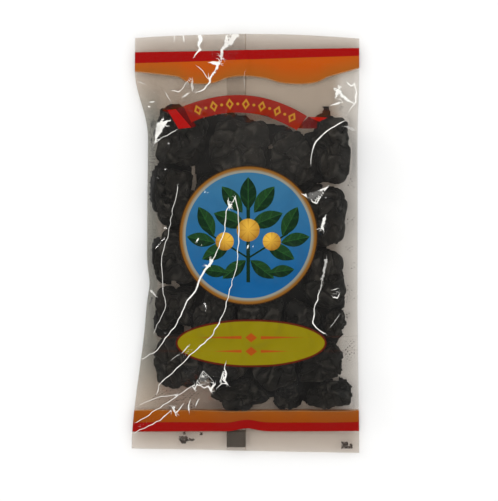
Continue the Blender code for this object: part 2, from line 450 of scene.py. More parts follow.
def back_height(x, y):
    """Height of the back panel's middle surface over the table."""
    left, right = side_folds(y)
    across = np.abs(2 * x - left - right) / (right - left)
    side = np.clip((across - SIDE_FLAT) / (1 - SIDE_FLAT), 0, 1) ** 2
    above_bottom = y + BAG_LENGTH / 2 - BOTTOM_SEAL
    below_top = BAG_LENGTH / 2 - TOP_SEAL - y
    end = np.maximum(1 - above_bottom / BOTTOM_RISE, 1 - below_top / TOP_RISE)
    end = np.clip(end, 0, 1) ** 2
    lift = EDGE_LIFT + EDGE_WAVE * np.sin(2 * math.pi * EDGE_WAVES * x / BAG_WIDTH)
    return FILM / 2 + lift * (1 - (1 - side) * (1 - end))


def fin_stack(x):
    """Share of the folded fin's height that lies under the left back panel."""
    return smooth_step(x, -FIN_WIDTH - FIN_SLOPE, -FIN_WIDTH) * (x <= 0)


def bed_height(x, y):
    """Height of a bed that climbs gently over the fin under the back panel."""
    over_fin = smooth_step(x, -FIN_WIDTH - FIN_SLOPE - BED_RAMP, -FIN_WIDTH - FIN_SLOPE)
    return back_height(x, y) + 2 * PITCH * over_fin * (1 - smooth_step(x, 0, BED_RAMP))


def distance_inside(x, y, outline):
    """How far points lie inside an outline, below 0 outside it."""
    nearest = np.full(x.shape, math.inf)
    crossed = np.zeros(x.shape, bool)
    for (ax, ay), (bx, by) in zip(outline, outline[1:] + outline[:1]):
        dx, dy = bx - ax, by - ay
        t = np.clip(((x - ax) * dx + (y - ay) * dy) / (dx * dx + dy * dy), 0, 1)
        nearest = np.minimum(nearest, np.hypot(x - ax - t * dx, y - ay - t * dy))
        if dy:
            crossed ^= ((ay > y) != (by > y)) & (x < ax + dx * (y - ay) / dy)
    return np.where(crossed, nearest, -nearest)


def soft_noise(x, y, size, seed):
    """Noise from about -1 to 1, with features of about size."""
    flat = [noise.noise(Vector((px / size, py / size, seed))) for px, py in zip(x.ravel(), y.ravel())]
    return np.array(flat).reshape(x.shape)


def torn_piece(shape, outline, seed):
    """A thin leathery piece with a ragged rim, laid flat on the bed, added to a bmesh."""
    outline = tuple((px * MM, py * MM) for px, py in outline)
    low, high = np.min(outline, axis=0), np.max(outline, axis=0) + TORN_STEP
    x, y = np.meshgrid(*(np.arange(low[i], high[i], TORN_STEP) for i in (0, 1)), indexing="ij")
    depth = distance_inside(x, y, outline) + TORN_RAGGED * soft_noise(x, y, 2 * MM, seed)
    bulk = np.sqrt(np.clip(depth / TORN_RIM, 0, 1))
    swell = 0.6 + 0.4 * soft_noise(x, y, 4 * MM, -seed)
    half = TORN_THICKNESS * (TORN_THINNEST + TORN_BULK * bulk * swell)
    middle = bed_height(x, y) + TORN_LIFT * (TORN_RIM_LIFT + (1 - TORN_RIM_LIFT) * bulk)
    upper, lower = {}, {}
    for key in zip(*np.nonzero(depth >= 0)):
        upper[key] = shape.verts.new((x[key], y[key], middle[key] + half[key]))
        lower[key] = shape.verts.new((x[key], y[key], middle[key] - half[key]))
    rings = [((i, j), (i + 1, j), (i + 1, j + 1), (i, j + 1)) for i, j in upper]
    rings = [ring for ring in rings if all(key in upper for key in ring)]
    sides = {side for ring in rings for side in zip(ring, ring[1:] + ring[:1])}
    for ring in rings:
        shape.faces.new([upper[key] for key in ring])
        shape.faces.new([lower[key] for key in reversed(ring)])
    for a, b in sorted(sides):
        if (b, a) not in sides:
            shape.faces.new([upper[b], upper[a], lower[a], lower[b]])


def make_torn_pieces():
    shape = bmesh.new()
    for number, outline in enumerate(TORN_PIECES):
        torn_piece(shape, outline, TORN_SEED_STEP * number)
    bmesh.ops.delete(shape, geom=[v for v in shape.verts if not v.link_faces], context="VERTS")
    pieces = link_object("torn_pieces", finished_mesh("torn_pieces", shape))
    pieces.data.materials.append(rind_material)
    smoothing = pieces.modifiers.new("Smoothing", "SUBSURF")
    smoothing.levels = smoothing.render_levels = 1
    apply_modifiers(pieces).shade_smooth()
    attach(pieces, "root")


make_torn_pieces()


# Scraps: small torn flakes of the same rind. They make a bed on the back panel, under and
# between the larger pieces, below the undersides of the whole ones and clear of the torn ones.

PATCH_STEP = 1.25 * MM
GAP_REACH = 4
RIM_REACH = 3
EDGE_REACH = 3
SIDE_ROOM = 9 * MM
FLAKE_KINDS = 5
SCRAP_LIFT = 1.0 * MM
SCRAP_THICKNESS = 0.075
SCRAP_SPACING = 4.4 * MM
SCRAP_SIZES = (6.5 * MM, 10.5 * MM)
SCRAP_TILT = math.radians(2)
SCRAP_SEED = 4
FULLY_COVERED = 1e8
TORN_ROOM = 6.0 * MM


def rind_tops(x, y):
    """Height of the rinds' solids under each point, or 0 where there is none."""
    corners, faces = [], []
    for node in rind_nodes:
        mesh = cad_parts[node].data
        start = len(corners)
        corners += [v.co.copy() for v in mesh.vertices]
        faces += [[start + i for i in p.vertices] for p in mesh.polygons]
    tree = BVHTree.FromPolygons(corners, faces)
    down = Vector((0, 0, -1))
    tops = np.zeros(x.size)
    for i, (px, py) in enumerate(zip(x.ravel(), y.ravel())):
        hit = tree.ray_cast(Vector((px, py, 0.1)), down)[0]
        if hit is not None:
            tops[i] = hit.z
    return tops.reshape(x.shape)


def spread(mask, reach):
    """A mask on the grid, grown by a number of steps all round."""
    grown = mask.copy()
    for across in range(-reach, reach + 1):
        for along in range(-reach, reach + 1):
            if across**2 + along**2 <= reach**2:
                grown |= np.roll(mask, (across, along), (0, 1))
    return grown


def patch_grid():
    """Flat x and y of a grid over the whole back panel."""
    flat_y = np.arange(-BAG_LENGTH / 2, BAG_LENGTH / 2, PATCH_STEP)
    flat_x = np.arange(-BAG_WIDTH / 2, BAG_WIDTH / 2, PATCH_STEP)
    return np.meshgrid(flat_x, flat_y)


def grid_faces(rows, columns):
    """The corners of each face of a grid, counted row by row."""
    index = np.arange(rows * columns).reshape(rows, columns)
    return np.stack([index[:-1, :-1], index[:-1, 1:], index[1:, 1:], index[1:, :-1]], axis=-1)


def patch_mesh(name, mask, height):
    """The part of the back panel where the mask is set, raised to a height."""
    x, y = patch_grid()
    corners = np.stack([x, to_world_y(x, y), height], axis=-1).reshape(-1, 3)
    mesh = bpy.data.meshes.new(name)
    mesh.from_pydata(corners.tolist(), [], grid_faces(*x.shape)[mask[:-1, :-1]].tolist())
    return mesh


def make_flakes(name, thickness, subdivisions):
    """A collection of flat torn flakes of unit size, each with another outline."""
    flakes = bpy.data.collections.new(name)
    for kind in range(FLAKE_KINDS):
        offset = Vector((3.7, 1.9, 0.6)) * kind
        shape = bmesh.new()
        bmesh.ops.create_icosphere(shape, subdivisions=subdivisions, radius=1)
        for vertex in shape.verts:
            flat = Vector((vertex.co.x, vertex.co.y, 0))
            rim = 1 + 0.75 * noise.noise(flat * 1.3 + offset) + 0.35 * noise.noise(flat * 3.4 + offset)
            curl = 0.35 * thickness * noise.noise(flat * 1.6 - offset)
            vertex.co = (0.5 * rim * flat.x, 0.36 * rim * flat.y, 0.5 * thickness * vertex.co.z + curl)
        flakes.objects.link(bpy.data.objects.new(name, finished_mesh(name, shape)))
    return flakes


def new_group(kind, name, inputs, outputs):
    """A node group with named sockets of the kinds given, and what its inputs bring in."""
    group = bpy.data.node_groups.new(name, kind)
    for in_out, sockets in (("INPUT", inputs), ("OUTPUT", outputs)):
        for socket, holds in sockets.items():
            group.interface.new_socket(socket, in_out=in_out, socket_type="NodeSocket" + holds)
    return group, group.nodes.new("NodeGroupInput").outputs


def make_scatter_tree():
    """Flakes strewn over a patch, lying flat on it, turned and sized at random."""
    inputs = {
        "Patch": "Geometry",
        "Flakes": "Collection",
        "Spacing": "Float",
        "Smallest": "Float",
        "Largest": "Float",
        "Tilt": "Float",
        "Seed": "Int",
        "Material": "Material",
    }
    tree, given = new_group("GeometryNodeTree", "strewn_flakes", inputs, {"Strewn": "Geometry"})
    points = add_node(
        tree,
        "GeometryNodeDistributePointsOnFaces",
        {
            "Mesh": given["Patch"],
            "Distance Min": given["Spacing"],
            "Density Max": FULLY_COVERED,
            "Seed": given["Seed"],
        },
        distribute_method="POISSON",
    )
    flakes = add_node(
        tree,
        "GeometryNodeCollectionInfo",
        {"Collection": given["Flakes"], "Separate Children": True, "Reset Children": True},
    )
    tilt = Field(given["Tilt"])
    least = add_node(tree, "ShaderNodeCombineXYZ", {0: 0 - tilt, 1: 0 - tilt, 2: 0.0})
    most = add_node(tree, "ShaderNodeCombineXYZ", {0: tilt, 1: tilt, 2: 2 * math.pi})
    turn = add_node(
        tree,
        "FunctionNodeRandomValue",
        {0: least.outputs[0], 1: most.outputs[0], "Seed": given["Seed"]},
        data_type="FLOAT_VECTOR",
    )
    turned = add_node(
        tree,
        "FunctionNodeRotateRotation",
        {0: points.outputs["Rotation"], 1: turn.outputs[0]},
        rotation_space="LOCAL",
    )
    size = add_node(
        tree,
        "FunctionNodeRandomValue",
        {2: given["Smallest"], 3: given["Largest"], "Seed": given["Seed"]},
        data_type="FLOAT",
    )
    strewn = add_node(
        tree,
        "GeometryNodeInstanceOnPoints",
        {
            "Points": points.outputs["Points"],
            "Instance": flakes.outputs[0],
            "Pick Instance": True,
            "Rotation": turned.outputs[0],
            "Scale": size.outputs[1],
        },
    )
    real = add_node(tree, "GeometryNodeRealizeInstances", {0: strewn.outputs[0]})
    painted = add_node(
        tree, "GeometryNodeSetMaterial", {"Geometry": real.outputs[0], "Material": given["Material"]}
    )
    add_node(tree, "NodeGroupOutput", {"Strewn": painted.outputs[0]})
    return tree


def strew(name, patch, tree, **values):
    """An object of flakes strewn over a patch; the values go to the tree's inputs by name."""
    strewn = link_object(name, patch)
    modifier = strewn.modifiers.new("Strewn", "NODES")
    modifier.node_group = tree
    for socket in tree.interface.items_tree:
        if socket.in_out == "INPUT" and socket.name.lower() in values:
            modifier[socket.identifier] = values[socket.name.lower()]
    apply_modifiers(strewn).shade_smooth()
    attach(strewn, "root")


patch_x, patch_y = patch_grid()
left_fold, right_fold = side_folds(patch_y)
under_rind = rind_tops(patch_x, to_world_y(patch_x, patch_y)) > 0
among_rinds = ~spread(~spread(under_rind, GAP_REACH), GAP_REACH + RIM_REACH)
among_rinds &= (patch_x > left_fold + SIDE_ROOM) & (patch_x < right_fold - SIDE_ROOM)
inner = ~spread(~under_rind, EDGE_REACH)
for outline in TORN_PIECES:
    from_piece = distance_inside(patch_x / MM, to_world_y(patch_x, patch_y) / MM, outline)
    among_rinds &= from_piece < -TORN_ROOM / MM
scatter_tree = make_scatter_tree()
strew(
    "scraps",
    patch_mesh("scraps", among_rinds & ~inner, bed_height(patch_x, patch_y) + SCRAP_LIFT),
    scatter_tree,
    flakes=make_flakes("scrap", SCRAP_THICKNESS, 3),
    spacing=SCRAP_SPACING,
    smallest=SCRAP_SIZES[0],
    largest=SCRAP_SIZES[1],
    tilt=SCRAP_TILT,
    seed=SCRAP_SEED,
    material=rind_material,
)


# Crumbs: rubbed-off grains of rind. They cling between the layers of film at the bag's margins,
# and some were caught in the bottom seal when it was pressed.

# Spots where they lie, in millimetres: middle and half sizes
MARGIN_CRUMBS = (
    (61.0, 5.0, 2.6, 34.0),
    (60.5, -50.0, 2.6, 28.0),
    (-54.0, -40.0, 2.0, 8.0),
    (-40.0, -93.0, 16.0, 5.0),
)
SMUDGES = (
    (-37.3, -115.6, 2.6, 1.9),
    (-33.0, -116.2, 2.6, 0.9),
    (57.4, -117.5, 2.2, 1.9),
    (60.6, -118.4, 1.3, 1.4),
    (-36.3, -112.2, 0.6, 0.6),
    (-26.3, -112.2, 0.6, 0.6),
)
MARGIN_SPACING = 1.6 * MM
SMUDGE_SPACING = 0.42 * MM
MARGIN_SIZES = (0.3 * MM, 0.9 * MM)
SMUDGE_SIZES = (0.5 * MM, 1.2 * MM)
CLUMP_SIZE = 6 * MM
CRUMB_THICKNESS = 0.16
CRUMB_LIFT = 0.3 * MM
CLUMP_SHARE = 0.12
CRUMB_BROWN = (0.016, 0.007, 0.004)
CRUMB_LIGHT = (0.060, 0.028, 0.014)


def oval_reach(x, y, middle_x, middle_y, half_x, half_y):
    """0 in the middle of an oval given in millimetres, 1 on its rim and more outside."""
    return np.hypot((x / MM - middle_x) / half_x, (y / MM - middle_y) / half_y)


def within(spots):
    """A mask on the grid, set inside ovals given by middle and half sizes."""
    return np.any([oval_reach(patch_x, patch_y, *spot) < 1 for spot in spots], axis=0)


def make_crumb_material():
    material, tree = empty_material("rind_crumb")
    specks = cloudy(tree, object_place(tree), 700, 2)
    colour = blend(tree, specks.rise(0.4, 0.6), CRUMB_BROWN, CRUMB_LIGHT)
    shader = add_node(tree, "ShaderNodeBsdfPrincipled", {"Base Color": colour, "Roughness": 0.75})
    add_node(tree, "ShaderNodeOutputMaterial", {"Surface": shader.outputs[0]})
    return material


crumb_material = make_crumb_material()
crumb_flakes = make_flakes("crumb", CRUMB_THICKNESS, 1)
panel_height = back_height(patch_x, patch_y) + 2 * PITCH * fin_stack(patch_x)
clumps = soft_noise(patch_x, patch_y, CLUMP_SIZE, 0.4) > CLUMP_SHARE
for name, mask, spacing, sizes, seed in (
    ("margin_crumbs", within(MARGIN_CRUMBS) & clumps, MARGIN_SPACING, MARGIN_SIZES, 2),
    ("seal_crumbs", within(SMUDGES), SMUDGE_SPACING, SMUDGE_SIZES, 5),
):
    strew(
        name,
        patch_mesh(name, mask, panel_height + CRUMB_LIFT),
        scatter_tree,
        flakes=crumb_flakes,
        spacing=spacing,
        smallest=sizes[0],
        largest=sizes[1],
        tilt=0.0,
        seed=seed,
        material=crumb_material,
    )


# Film: one web of clear printed film, folded into a tube. Its edges meet in a fin seal that
# is folded flat on the back, and both ends are pressed shut. The front is drawn over the
# rinds and has creased where it was handled.

ROWS = 232
FRONT_COLUMNS = 150
BACK_COLUMNS = 22
LEFT_BACK_COLUMNS = 18
OVER_FIN_COLUMNS = 6
FIN_COLUMNS = 4
FOLD_POINTS = 3
FRONT_PANEL = 1
FIN_PANEL = -1
RELAX_STEPS = 3500
CLEARANCE = 0.6 * MM
SAG = 0.018 * MM
FIN_START = 0.5 * MM
SIDE_EASE = 0.05
END_EASE = 6 * MM
SEAL_RELIEF = 0.35
BROAD_SWELL = 0.7 * MM
SHARP_RIDGE = 0.14 * MM
PLEAT_HEIGHT = 0.8 * MM

# Creases of the front, each with a bright line that is painted highlight standing in for its glint,
# with the whitening of creased film: width of the bright line at its start and end in millimetres,
# how bright it is, height of the ridge in millimetres, and its points in millimetres
CREASES = (
    # Long creases down the left side
    (0.22, 0.22, 0.80, 0.35, ((-38.9, 32.9), (-41.4, 21.6), (-44.3, 6.0), (-48.2, -9.7))),
    (0.22, 0.20, 0.80, 0.35, ((-48.2, -9.7), (-47.3, -29.2), (-45.8, -35.6), (-53.1, -51.8))),
    (0.45, 0.22, 1.00, 0.35, ((-10.0, 24.4), (-8.5, 20.7), (-5.9, 26.5), (-9.1, 21.6))),
    (
        0.35, 0.30, 1.00, 0.50,
        ((-9.1, 21.6), (-11.0, 18.7), (-11.6, 7.9), (-15.0, -1.9), (-18.9, -9.7)),
    ),
    (0.75, 0.45, 1.00, 0.50, ((-18.9, -9.7), (-25.7, -19.5), (-28.7, -27.3), (-34.5, -35.1))),
    (
        0.40, 0.22, 0.95, 0.40,
        ((-34.5, -35.1), (-39.4, -45.9), (-44.3, -52.7), (-53.1, -63.5), (-60.0, -67.4)),
    ),
    (0.30, 0.20, 0.90, 0.20, ((-20.4, -9.0), (-20.2, -13.6), (-22.5, -12.4))),
    (
        0.35, 0.28, 0.95, 0.45,
        ((-5.9, 26.5), (-4.2, 16.7), (-3.7, 7.9), (-4.2, -1.9), (-5.2, -14.6)),
    ),
    (0.28, 0.32, 0.95, 0.45, ((-5.2, -14.6), (-9.1, -26.3), (-12.0, -39.0), (-15.0, -45.9))),
    (0.45, 0.30, 1.00, 0.45, ((-15.0, -45.9), (-19.8, -53.7), (-27.5, -60.6), (-35.5, -68.4))),
    (0.30, 0.30, 0.95, 0.35, ((-35.5, -68.4), (-44.0, -76.3), (-50.2, -82.1), (-51.2, -86.8))),
    # Towards the lower left corner
    (
        0.20, 0.32, 0.85, 0.35,
        ((-60.8, -93.8), (-55.7, -91.7), (-50.7, -89.6), (-45.7, -88.8), (-39.9, -87.5)),
    ),
    (
        0.40, 0.25, 0.95, 0.45,
        ((-30.2, -82.0), (-36.3, -86.3), (-43.6, -91.5), (-52.1, -97.1), (-63.3, -104.3)),
    ),
    (
        0.35, 0.22, 0.95, 0.40,
        ((-42.0, -95.9), (-44.4, -98.4), (-49.8, -103.4), (-56.6, -106.5), (-64.3, -110.4)),
    ),
    (1.00, 0.75, 1.00, 0.25, ((-42.2, -96.6), (-40.9, -99.2))),
    (0.75, 0.25, 1.00, 0.25, ((-40.9, -99.2), (-38.4, -96.6), (-36.4, -93.6))),
    (0.25, 0.65, 1.00, 0.25, ((-32.2, -91.4), (-33.3, -94.6), (-33.0, -97.4))),
    (0.25, 0.50, 0.90, 0.20, ((-27.4, -90.8), (-28.8, -94.0))),
    (
        0.45, 0.30, 1.00, 0.30,
        ((-30.8, -82.5), (-29.4, -84.6), (-28.2, -81.6), (-25.7, -82.1), (-23.8, -83.6)),
    ),
    (0.40, 0.90, 1.00, 0.30, ((-23.8, -83.6), (-21.4, -82.2), (-19.8, -85.2), (-18.2, -81.6))),
    (0.22, 0.25, 0.70, 0.25, ((-28.2, -80.0), (-26.2, -76.4), (-24.2, -73.2))),
    (0.25, 0.22, 0.55, 0.25, ((-24.2, -73.2), (-21.2, -76.0), (-18.8, -79.2))),
    (1.80, 1.20, 0.12, 0.00, ((-25.4, -78.6), (-22.4, -77.0))),
    (1.00, 0.50, 1.00, 0.20, ((-24.4, -77.0), (-23.7, -79.0))),
    (0.20, 0.75, 1.00, 0.30, ((-11.4, -68.8), (-12.2, -71.9), (-11.0, -74.3), (-12.3, -78.4))),
    (0.55, 0.30, 1.00, 0.25, ((-12.3, -78.4), (-10.3, -80.7), (-13.2, -80.4), (-15.7, -82.5))),
    (0.20, 0.50, 0.85, 0.20, ((-11.4, -69.2), (-13.3, -75.4), (-14.1, -79.0))),
    (0.40, 0.25, 0.70, 0.15, ((-33.2, -59.3), (-35.9, -62.5))),
    (0.30, 0.20, 0.60, 0.15, ((-39.0, -64.3), (-42.2, -66.7))),
    (1.20, 0.60, 0.65, 0.20, ((-55.0, -27.6), (-52.0, -30.0))),
    # Right side
    (1.10, 0.80, 0.40, 0.50, ((46.3, -9.7), (44.8, -18.5), (42.9, -27.2))),
    (
        0.35, 0.45, 0.95, 0.50,
        ((42.9, -27.2), (39.4, -37.8), (38.5, -45.6), (40.6, -48.4), (45.3, -51.9)),
    ),
    (
        0.30, 0.50, 0.95, 0.45,
        ((56.9, 70.5), (51.1, 67.1), (45.3, 63.2), (42.4, 60.3), (39.4, 56.4)),
    ),
    (0.45, 0.22, 0.85, 0.40, ((39.4, 56.4), (38.0, 51.1), (37.5, 45.3))),
    (0.30, 0.50, 0.95, 0.30, ((33.2, 28.2), (39.4, 28.8), (46.7, 32.1))),
    (0.35, 0.60, 0.95, 0.30, ((33.2, 28.2), (40.9, 22.9), (46.7, 32.1))),
    (2.60, 1.20, 0.12, 0.00, ((38.0, 27.0), (44.0, 29.5))),
    (1.20, 1.00, 1.00, 0.20, ((45.4, 14.0), (44.0, 10.5), (44.6, 8.3))),
    (0.30, 0.25, 0.90, 0.10, ((44.0, 8.5), (42.0, 8.4))),
    (0.20, 0.35, 0.80, 0.10, ((50.4, -26.8), (52.4, -26.4))),
    (0.55, 0.30, 0.95, 0.15, ((51.4, -31.0), (53.0, -31.6), (53.8, -29.8))),
    (0.25, 0.25, 0.50, 0.20, ((49.7, -47.5), (54.0, -41.7))),
    (1.30, 1.70, 1.00, 0.30, ((53.2, 86.9), (54.0, 90.0), (56.0, 87.3))),
    (1.50, 0.35, 1.00, 0.30, ((56.0, 87.3), (57.6, 85.2), (62.6, 82.2))),
    (0.40, 0.90, 0.95, 0.20, ((50.6, 80.7), (55.0, 82.1))),
    (0.60, 0.35, 0.90, 0.25, ((59.8, 93.8), (61.8, 91.9), (63.7, 93.3))),
    (0.45, 0.70, 0.90, 0.30, ((63.7, 93.3), (64.9, 88.5), (64.5, 82.6))),
    (0.50, 0.20, 0.80, 0.25, ((64.5, 82.6), (60.3, 76.8))),
    (1.20, 1.00, 0.35, 0.20, ((58.9, 67.1), (62.4, 66.2))),
    # Upper left corner and top seal
    (0.50, 0.25, 0.70, 0.15, ((-41.5, 121.6), (-41.6, 118.2))),
    (0.80, 0.35, 0.75, 0.15, ((-36.3, 121.5), (-35.9, 117.9))),
    (1.60, 1.00, 0.90, 0.25, ((-26.7, 121.2), (-25.9, 119.0), (-27.5, 115.3))),
    (1.00, 0.45, 0.90, 0.25, ((-27.5, 115.3), (-26.3, 113.6), (-29.6, 109.8))),
    (2.30, 1.20, 0.62, 0.25, ((-5.8, 121.6), (-9.1, 116.9), (-13.3, 114.4))),
    (1.30, 0.70, 0.80, 0.25, ((-13.3, 114.4), (-13.8, 111.5), (-14.1, 107.7))),
    (1.20, 0.70, 0.70, 0.15, ((-10.8, 121.2), (-11.6, 116.9))),
    (0.25, 0.35, 0.70, 0.10, ((-15.4, 109.4), (-12.9, 108.1))),
    (1.10, 1.30, 1.00, 0.30, ((-19.1, 105.6), (-15.8, 105.2), (-17.0, 102.4))),
    (
        0.90, 0.30, 0.95, 0.35,
        ((-17.0, 102.4), (-19.6, 98.5), (-20.8, 94.3), (-24.2, 90.1), (-28.4, 88.4)),
    ),
    (0.25, 0.30, 0.75, 0.30, ((-27.9, 103.5), (-25.0, 101.0), (-22.1, 96.4))),
    (0.25, 0.40, 0.70, 0.30, ((-33.4, 95.6), (-36.7, 90.5), (-38.9, 88.4), (-42.2, 89.3))),
    (0.30, 0.20, 0.60, 0.25, ((-46.4, 87.6), (-43.5, 82.5))),
    (1.30, 0.80, 0.40, 0.20, ((-31.3, 94.3), (-30.9, 90.1))),
    (0.90, 0.60, 0.60, 0.15, ((-35.5, 85.9), (-33.8, 87.2))),
    (0.25, 0.20, 0.60, 0.15, ((-61.9, 94.3), (-58.6, 93.0))),
    (0.12, 0.16, 0.55, 0.00, ((-0.4, 100.0), (-0.5, 91.5))),
    (0.60, 0.50, 0.60, 0.10, ((-54.8, 82.5), (-54.0, 82.4))),
    (3.40, 2.40, 1.00, 0.30, ((-49.0, 67.6), (-50.0, 64.2))),
    (2.40, 0.40, 1.00, 0.30, ((-50.0, 64.2), (-52.0, 58.6))),
    (2.40, 1.20, 1.00, 0.30, ((-48.2, 68.4), (-45.4, 69.8))),
    (0.30, 0.25, 0.80, 0.30, ((-52.3, 57.8), (-47.7, 61.2), (-40.1, 64.9))),
)
CREASE_REACH = 4.5
RIDGE_SPREAD = 1.5
KINK_LENGTH = 2.6
KINK = 0.88

# Places where the front has been crumpled, in millimetres: middle, half sizes and height
CRUMPLES = (
    (-43.0, 90.0, 15.0, 9.0, 0.45),
    (-12.0, 113.0, 9.0, 8.0, 0.35),
    (-51.0, 66.0, 7.0, 9.0, 0.80),
    (57.0, 84.0, 8.0, 8.0, 0.55),
    (-25.0, -78.0, 15.0, 9.0, 1.00),
    (-36.0, -95.0, 12.0, 5.0, 0.60),
    (-56.0, -30.0, 4.0, 6.0, 0.50),
    (44.5, 9.0, 3.0, 5.0, 0.70),
    (54.0, -28.0, 3.0, 4.0, 0.50),
    (44.0, 27.0, 6.0, 5.0, 0.50),
)
CRUMPLE_SIZE = 4.6 * MM


def front_over_fin(x):
    over = smooth_step(x, -FIN_WIDTH - FIN_SLOPE, -FIN_WIDTH)
    return over * (1 - smooth_step(x, 0, FIN_SLOPE))


def kinked(points):
    """The line's points with small kinks between them, each with its share of the way along."""
    path = [Vector(point) for point in points]
    total = sum((b - a).length for a, b in zip(path, path[1:]))
    line, gone = [(path[0], 0.0)], 0.0
    for a, b in zip(path, path[1:]):
        length = (b - a).length
        pieces = max(1, round(length / KINK_LENGTH))
        aside = Vector((b.y - a.y, a.x - b.x)) / length
        for piece in range(1, pieces + 1):
            spot = a.lerp(b, piece / pieces)
            kink = KINK * noise.noise(Vector((spot.x, spot.y, 0.5))) * (piece < pieces)
            line.append((spot + kink * aside, (gone + length * piece / pieces) / total))
        gone += length
    return line


def crease_fields(x, y):
    """Signed distance to the nearest crease in millimetres, the brightness of its painted highlight,
    its width and its ridge.
    """
    x, y = x / MM, y / MM
    nearest = np.full(x.shape, CREASE_REACH)
    side = np.full(x.shape, CREASE_REACH)
    light, width, ridge = np.zeros((3, *x.shape))
    for start_width, end_width, brightness, height, points in CREASES:
        line = kinked(points)
        for (a, a_share), (b, b_share) in zip(line, line[1:]):
            dx, dy = b.x - a.x, b.y - a.y
            length = math.hypot(dx, dy)
            t = np.clip(((x - a.x) * dx + (y - a.y) * dy) / length**2, 0, 1)
            distance = np.hypot(x - a.x - t * dx, y - a.y - t * dy)
            cross = ((x - a.x) * dy - (y - a.y) * dx) / length
            share = a_share + t * (b_share - a_share)
            line_width = start_width + share * (end_width - start_width)
            closer = distance - line_width < nearest - width
            nearest[closer] = distance[closer]
            side[closer] = (np.where(cross < 0, -1, 1) * distance)[closer]
            light[closer] = brightness
            width[closer] = line_width[closer]
            raised = height * np.exp(-((distance / RIDGE_SPREAD) ** 1.5))
            ridge = np.maximum(ridge, raised)
    light *= 1 - smooth_step(nearest - width, 0.9, 1.6)
    return side, light, width, ridge * MM


def crumple_fields(x, y):
    """How crumpled the front is, from 0 to 1, and the height that this adds."""
    crumpled, height = np.zeros((2, *x.shape))
    for *oval, tallest in CRUMPLES:
        share = 1 - smooth_step(oval_reach(x, y, *oval), 0.55, 1.15)
        crumpled = np.maximum(crumpled, share)
        height = np.maximum(height, share * tallest * MM)
    warp_x = x + 2 * MM * soft_noise(x, y, 7 * MM, 3.3)
    warp_y = y + 2 * MM * soft_noise(x, y, 7 * MM, 6.6)
    ridges = (1 - np.abs(soft_noise(warp_x, warp_y, CRUMPLE_SIZE, 1.1))) ** 2
    return crumpled, height * ridges


def wrinkles(x, y, from_ends):
    """Height of the loose film's wrinkles over a tight one."""
    warp_x = x + 6 * MM * soft_noise(x, y, 21 * MM, 3.1)
    warp_y = y + 6 * MM * soft_noise(x, y, 21 * MM, 8.4)
    broad = 0.5 + 0.5 * soft_noise(x, y, 28 * MM, 1.7)
    sharp = (1 - np.abs(soft_noise(warp_x, warp_y, 19 * MM, 5.5))) ** 6
    pleated = np.exp(-np.maximum(from_ends, 0) / (9 * MM)) * smooth_step(from_ends, 0, 4 * MM)
    pleats = (1 - np.abs(soft_noise(x, 0.15 * y, 6.5 * MM, 2.2))) ** 3
    return BROAD_SWELL * broad + SHARP_RIDGE * sharp + PLEAT_HEIGHT * pleats * pleated


def drape_front(flat_y):
    """x, height and crumpling of the front panel, drawn over the rinds, and its creases."""
    left, right = side_folds(flat_y)
    inner = PITCH / 2
    share = np.linspace(0, 1, FRONT_COLUMNS)
    x = (left + inner)[:, None] + np.outer(right - left - PITCH, share)
    rows = np.broadcast_to(flat_y[:, None], x.shape)
    y = to_world_y(x, rows)
    lowest = back_height(x, rows) + PITCH + 2 * PITCH * front_over_fin(x)
    tops = rind_tops(x, y)
    for step, axis in ((1, 0), (-1, 0), (1, 1), (-1, 1)):
        tops = np.maximum(tops, np.roll(tops, step, axis))
    covered = np.maximum(lowest, np.where(tops > 0, tops + CLEARANCE, 0))
    side, light, width, ridge = crease_fields(x, y)
    inside = smooth_step(np.minimum(share, 1 - share), 0, SIDE_EASE)[None, :]
    from_ends = np.minimum(rows + BAG_LENGTH / 2 - BOTTOM_SEAL, BAG_LENGTH / 2 - TOP_SEAL - rows)
    loose = inside * smooth_step(from_ends, 0, END_EASE)
    height = covered.copy()
    free = (flat_y > -BAG_LENGTH / 2 + BOTTOM_SEAL) & (flat_y < BAG_LENGTH / 2 - TOP_SEAL)
    first, last = np.flatnonzero(free)[[0, -1]]
    middle = (slice(first, last + 1), slice(1, -1))
    for _ in range(RELAX_STEPS):
        around = height[first - 1 : last, 1:-1] + height[first + 1 : last + 2, 1:-1]
        around = around + height[first : last + 1, 2:] + height[first : last + 1, :-2]
        height[middle] = np.maximum(around / 4 - SAG, covered[middle])
    crumpled, crumples = crumple_fields(x, y)
    height = height + loose * wrinkles(x, y, from_ends)
    height = height + np.maximum(loose, SEAL_RELIEF) * (ridge + crumples)
    return x, height, crumpled, np.stack([side, light, width], axis=-1)


def half_round(x, low, high, outward):
    """x and z columns of a half-round fold from the height low to the height high."""
    angles = math.pi * (np.arange(1, FOLD_POINTS + 1) / (FOLD_POINTS + 1) - 0.5)
    radius = (high - low)[:, None] / 2
    fold_x = x[:, None] + outward * np.abs(radius) * np.cos(angles)
    return fold_x, (low + high)[:, None] / 2 + radius * np.sin(angles)


def across(start, end, count):
    """Columns from start to end, where each may change from row to row."""
    share = np.linspace(0, 1, count)
    return start[:, None] * (1 - share) + end[:, None] * share


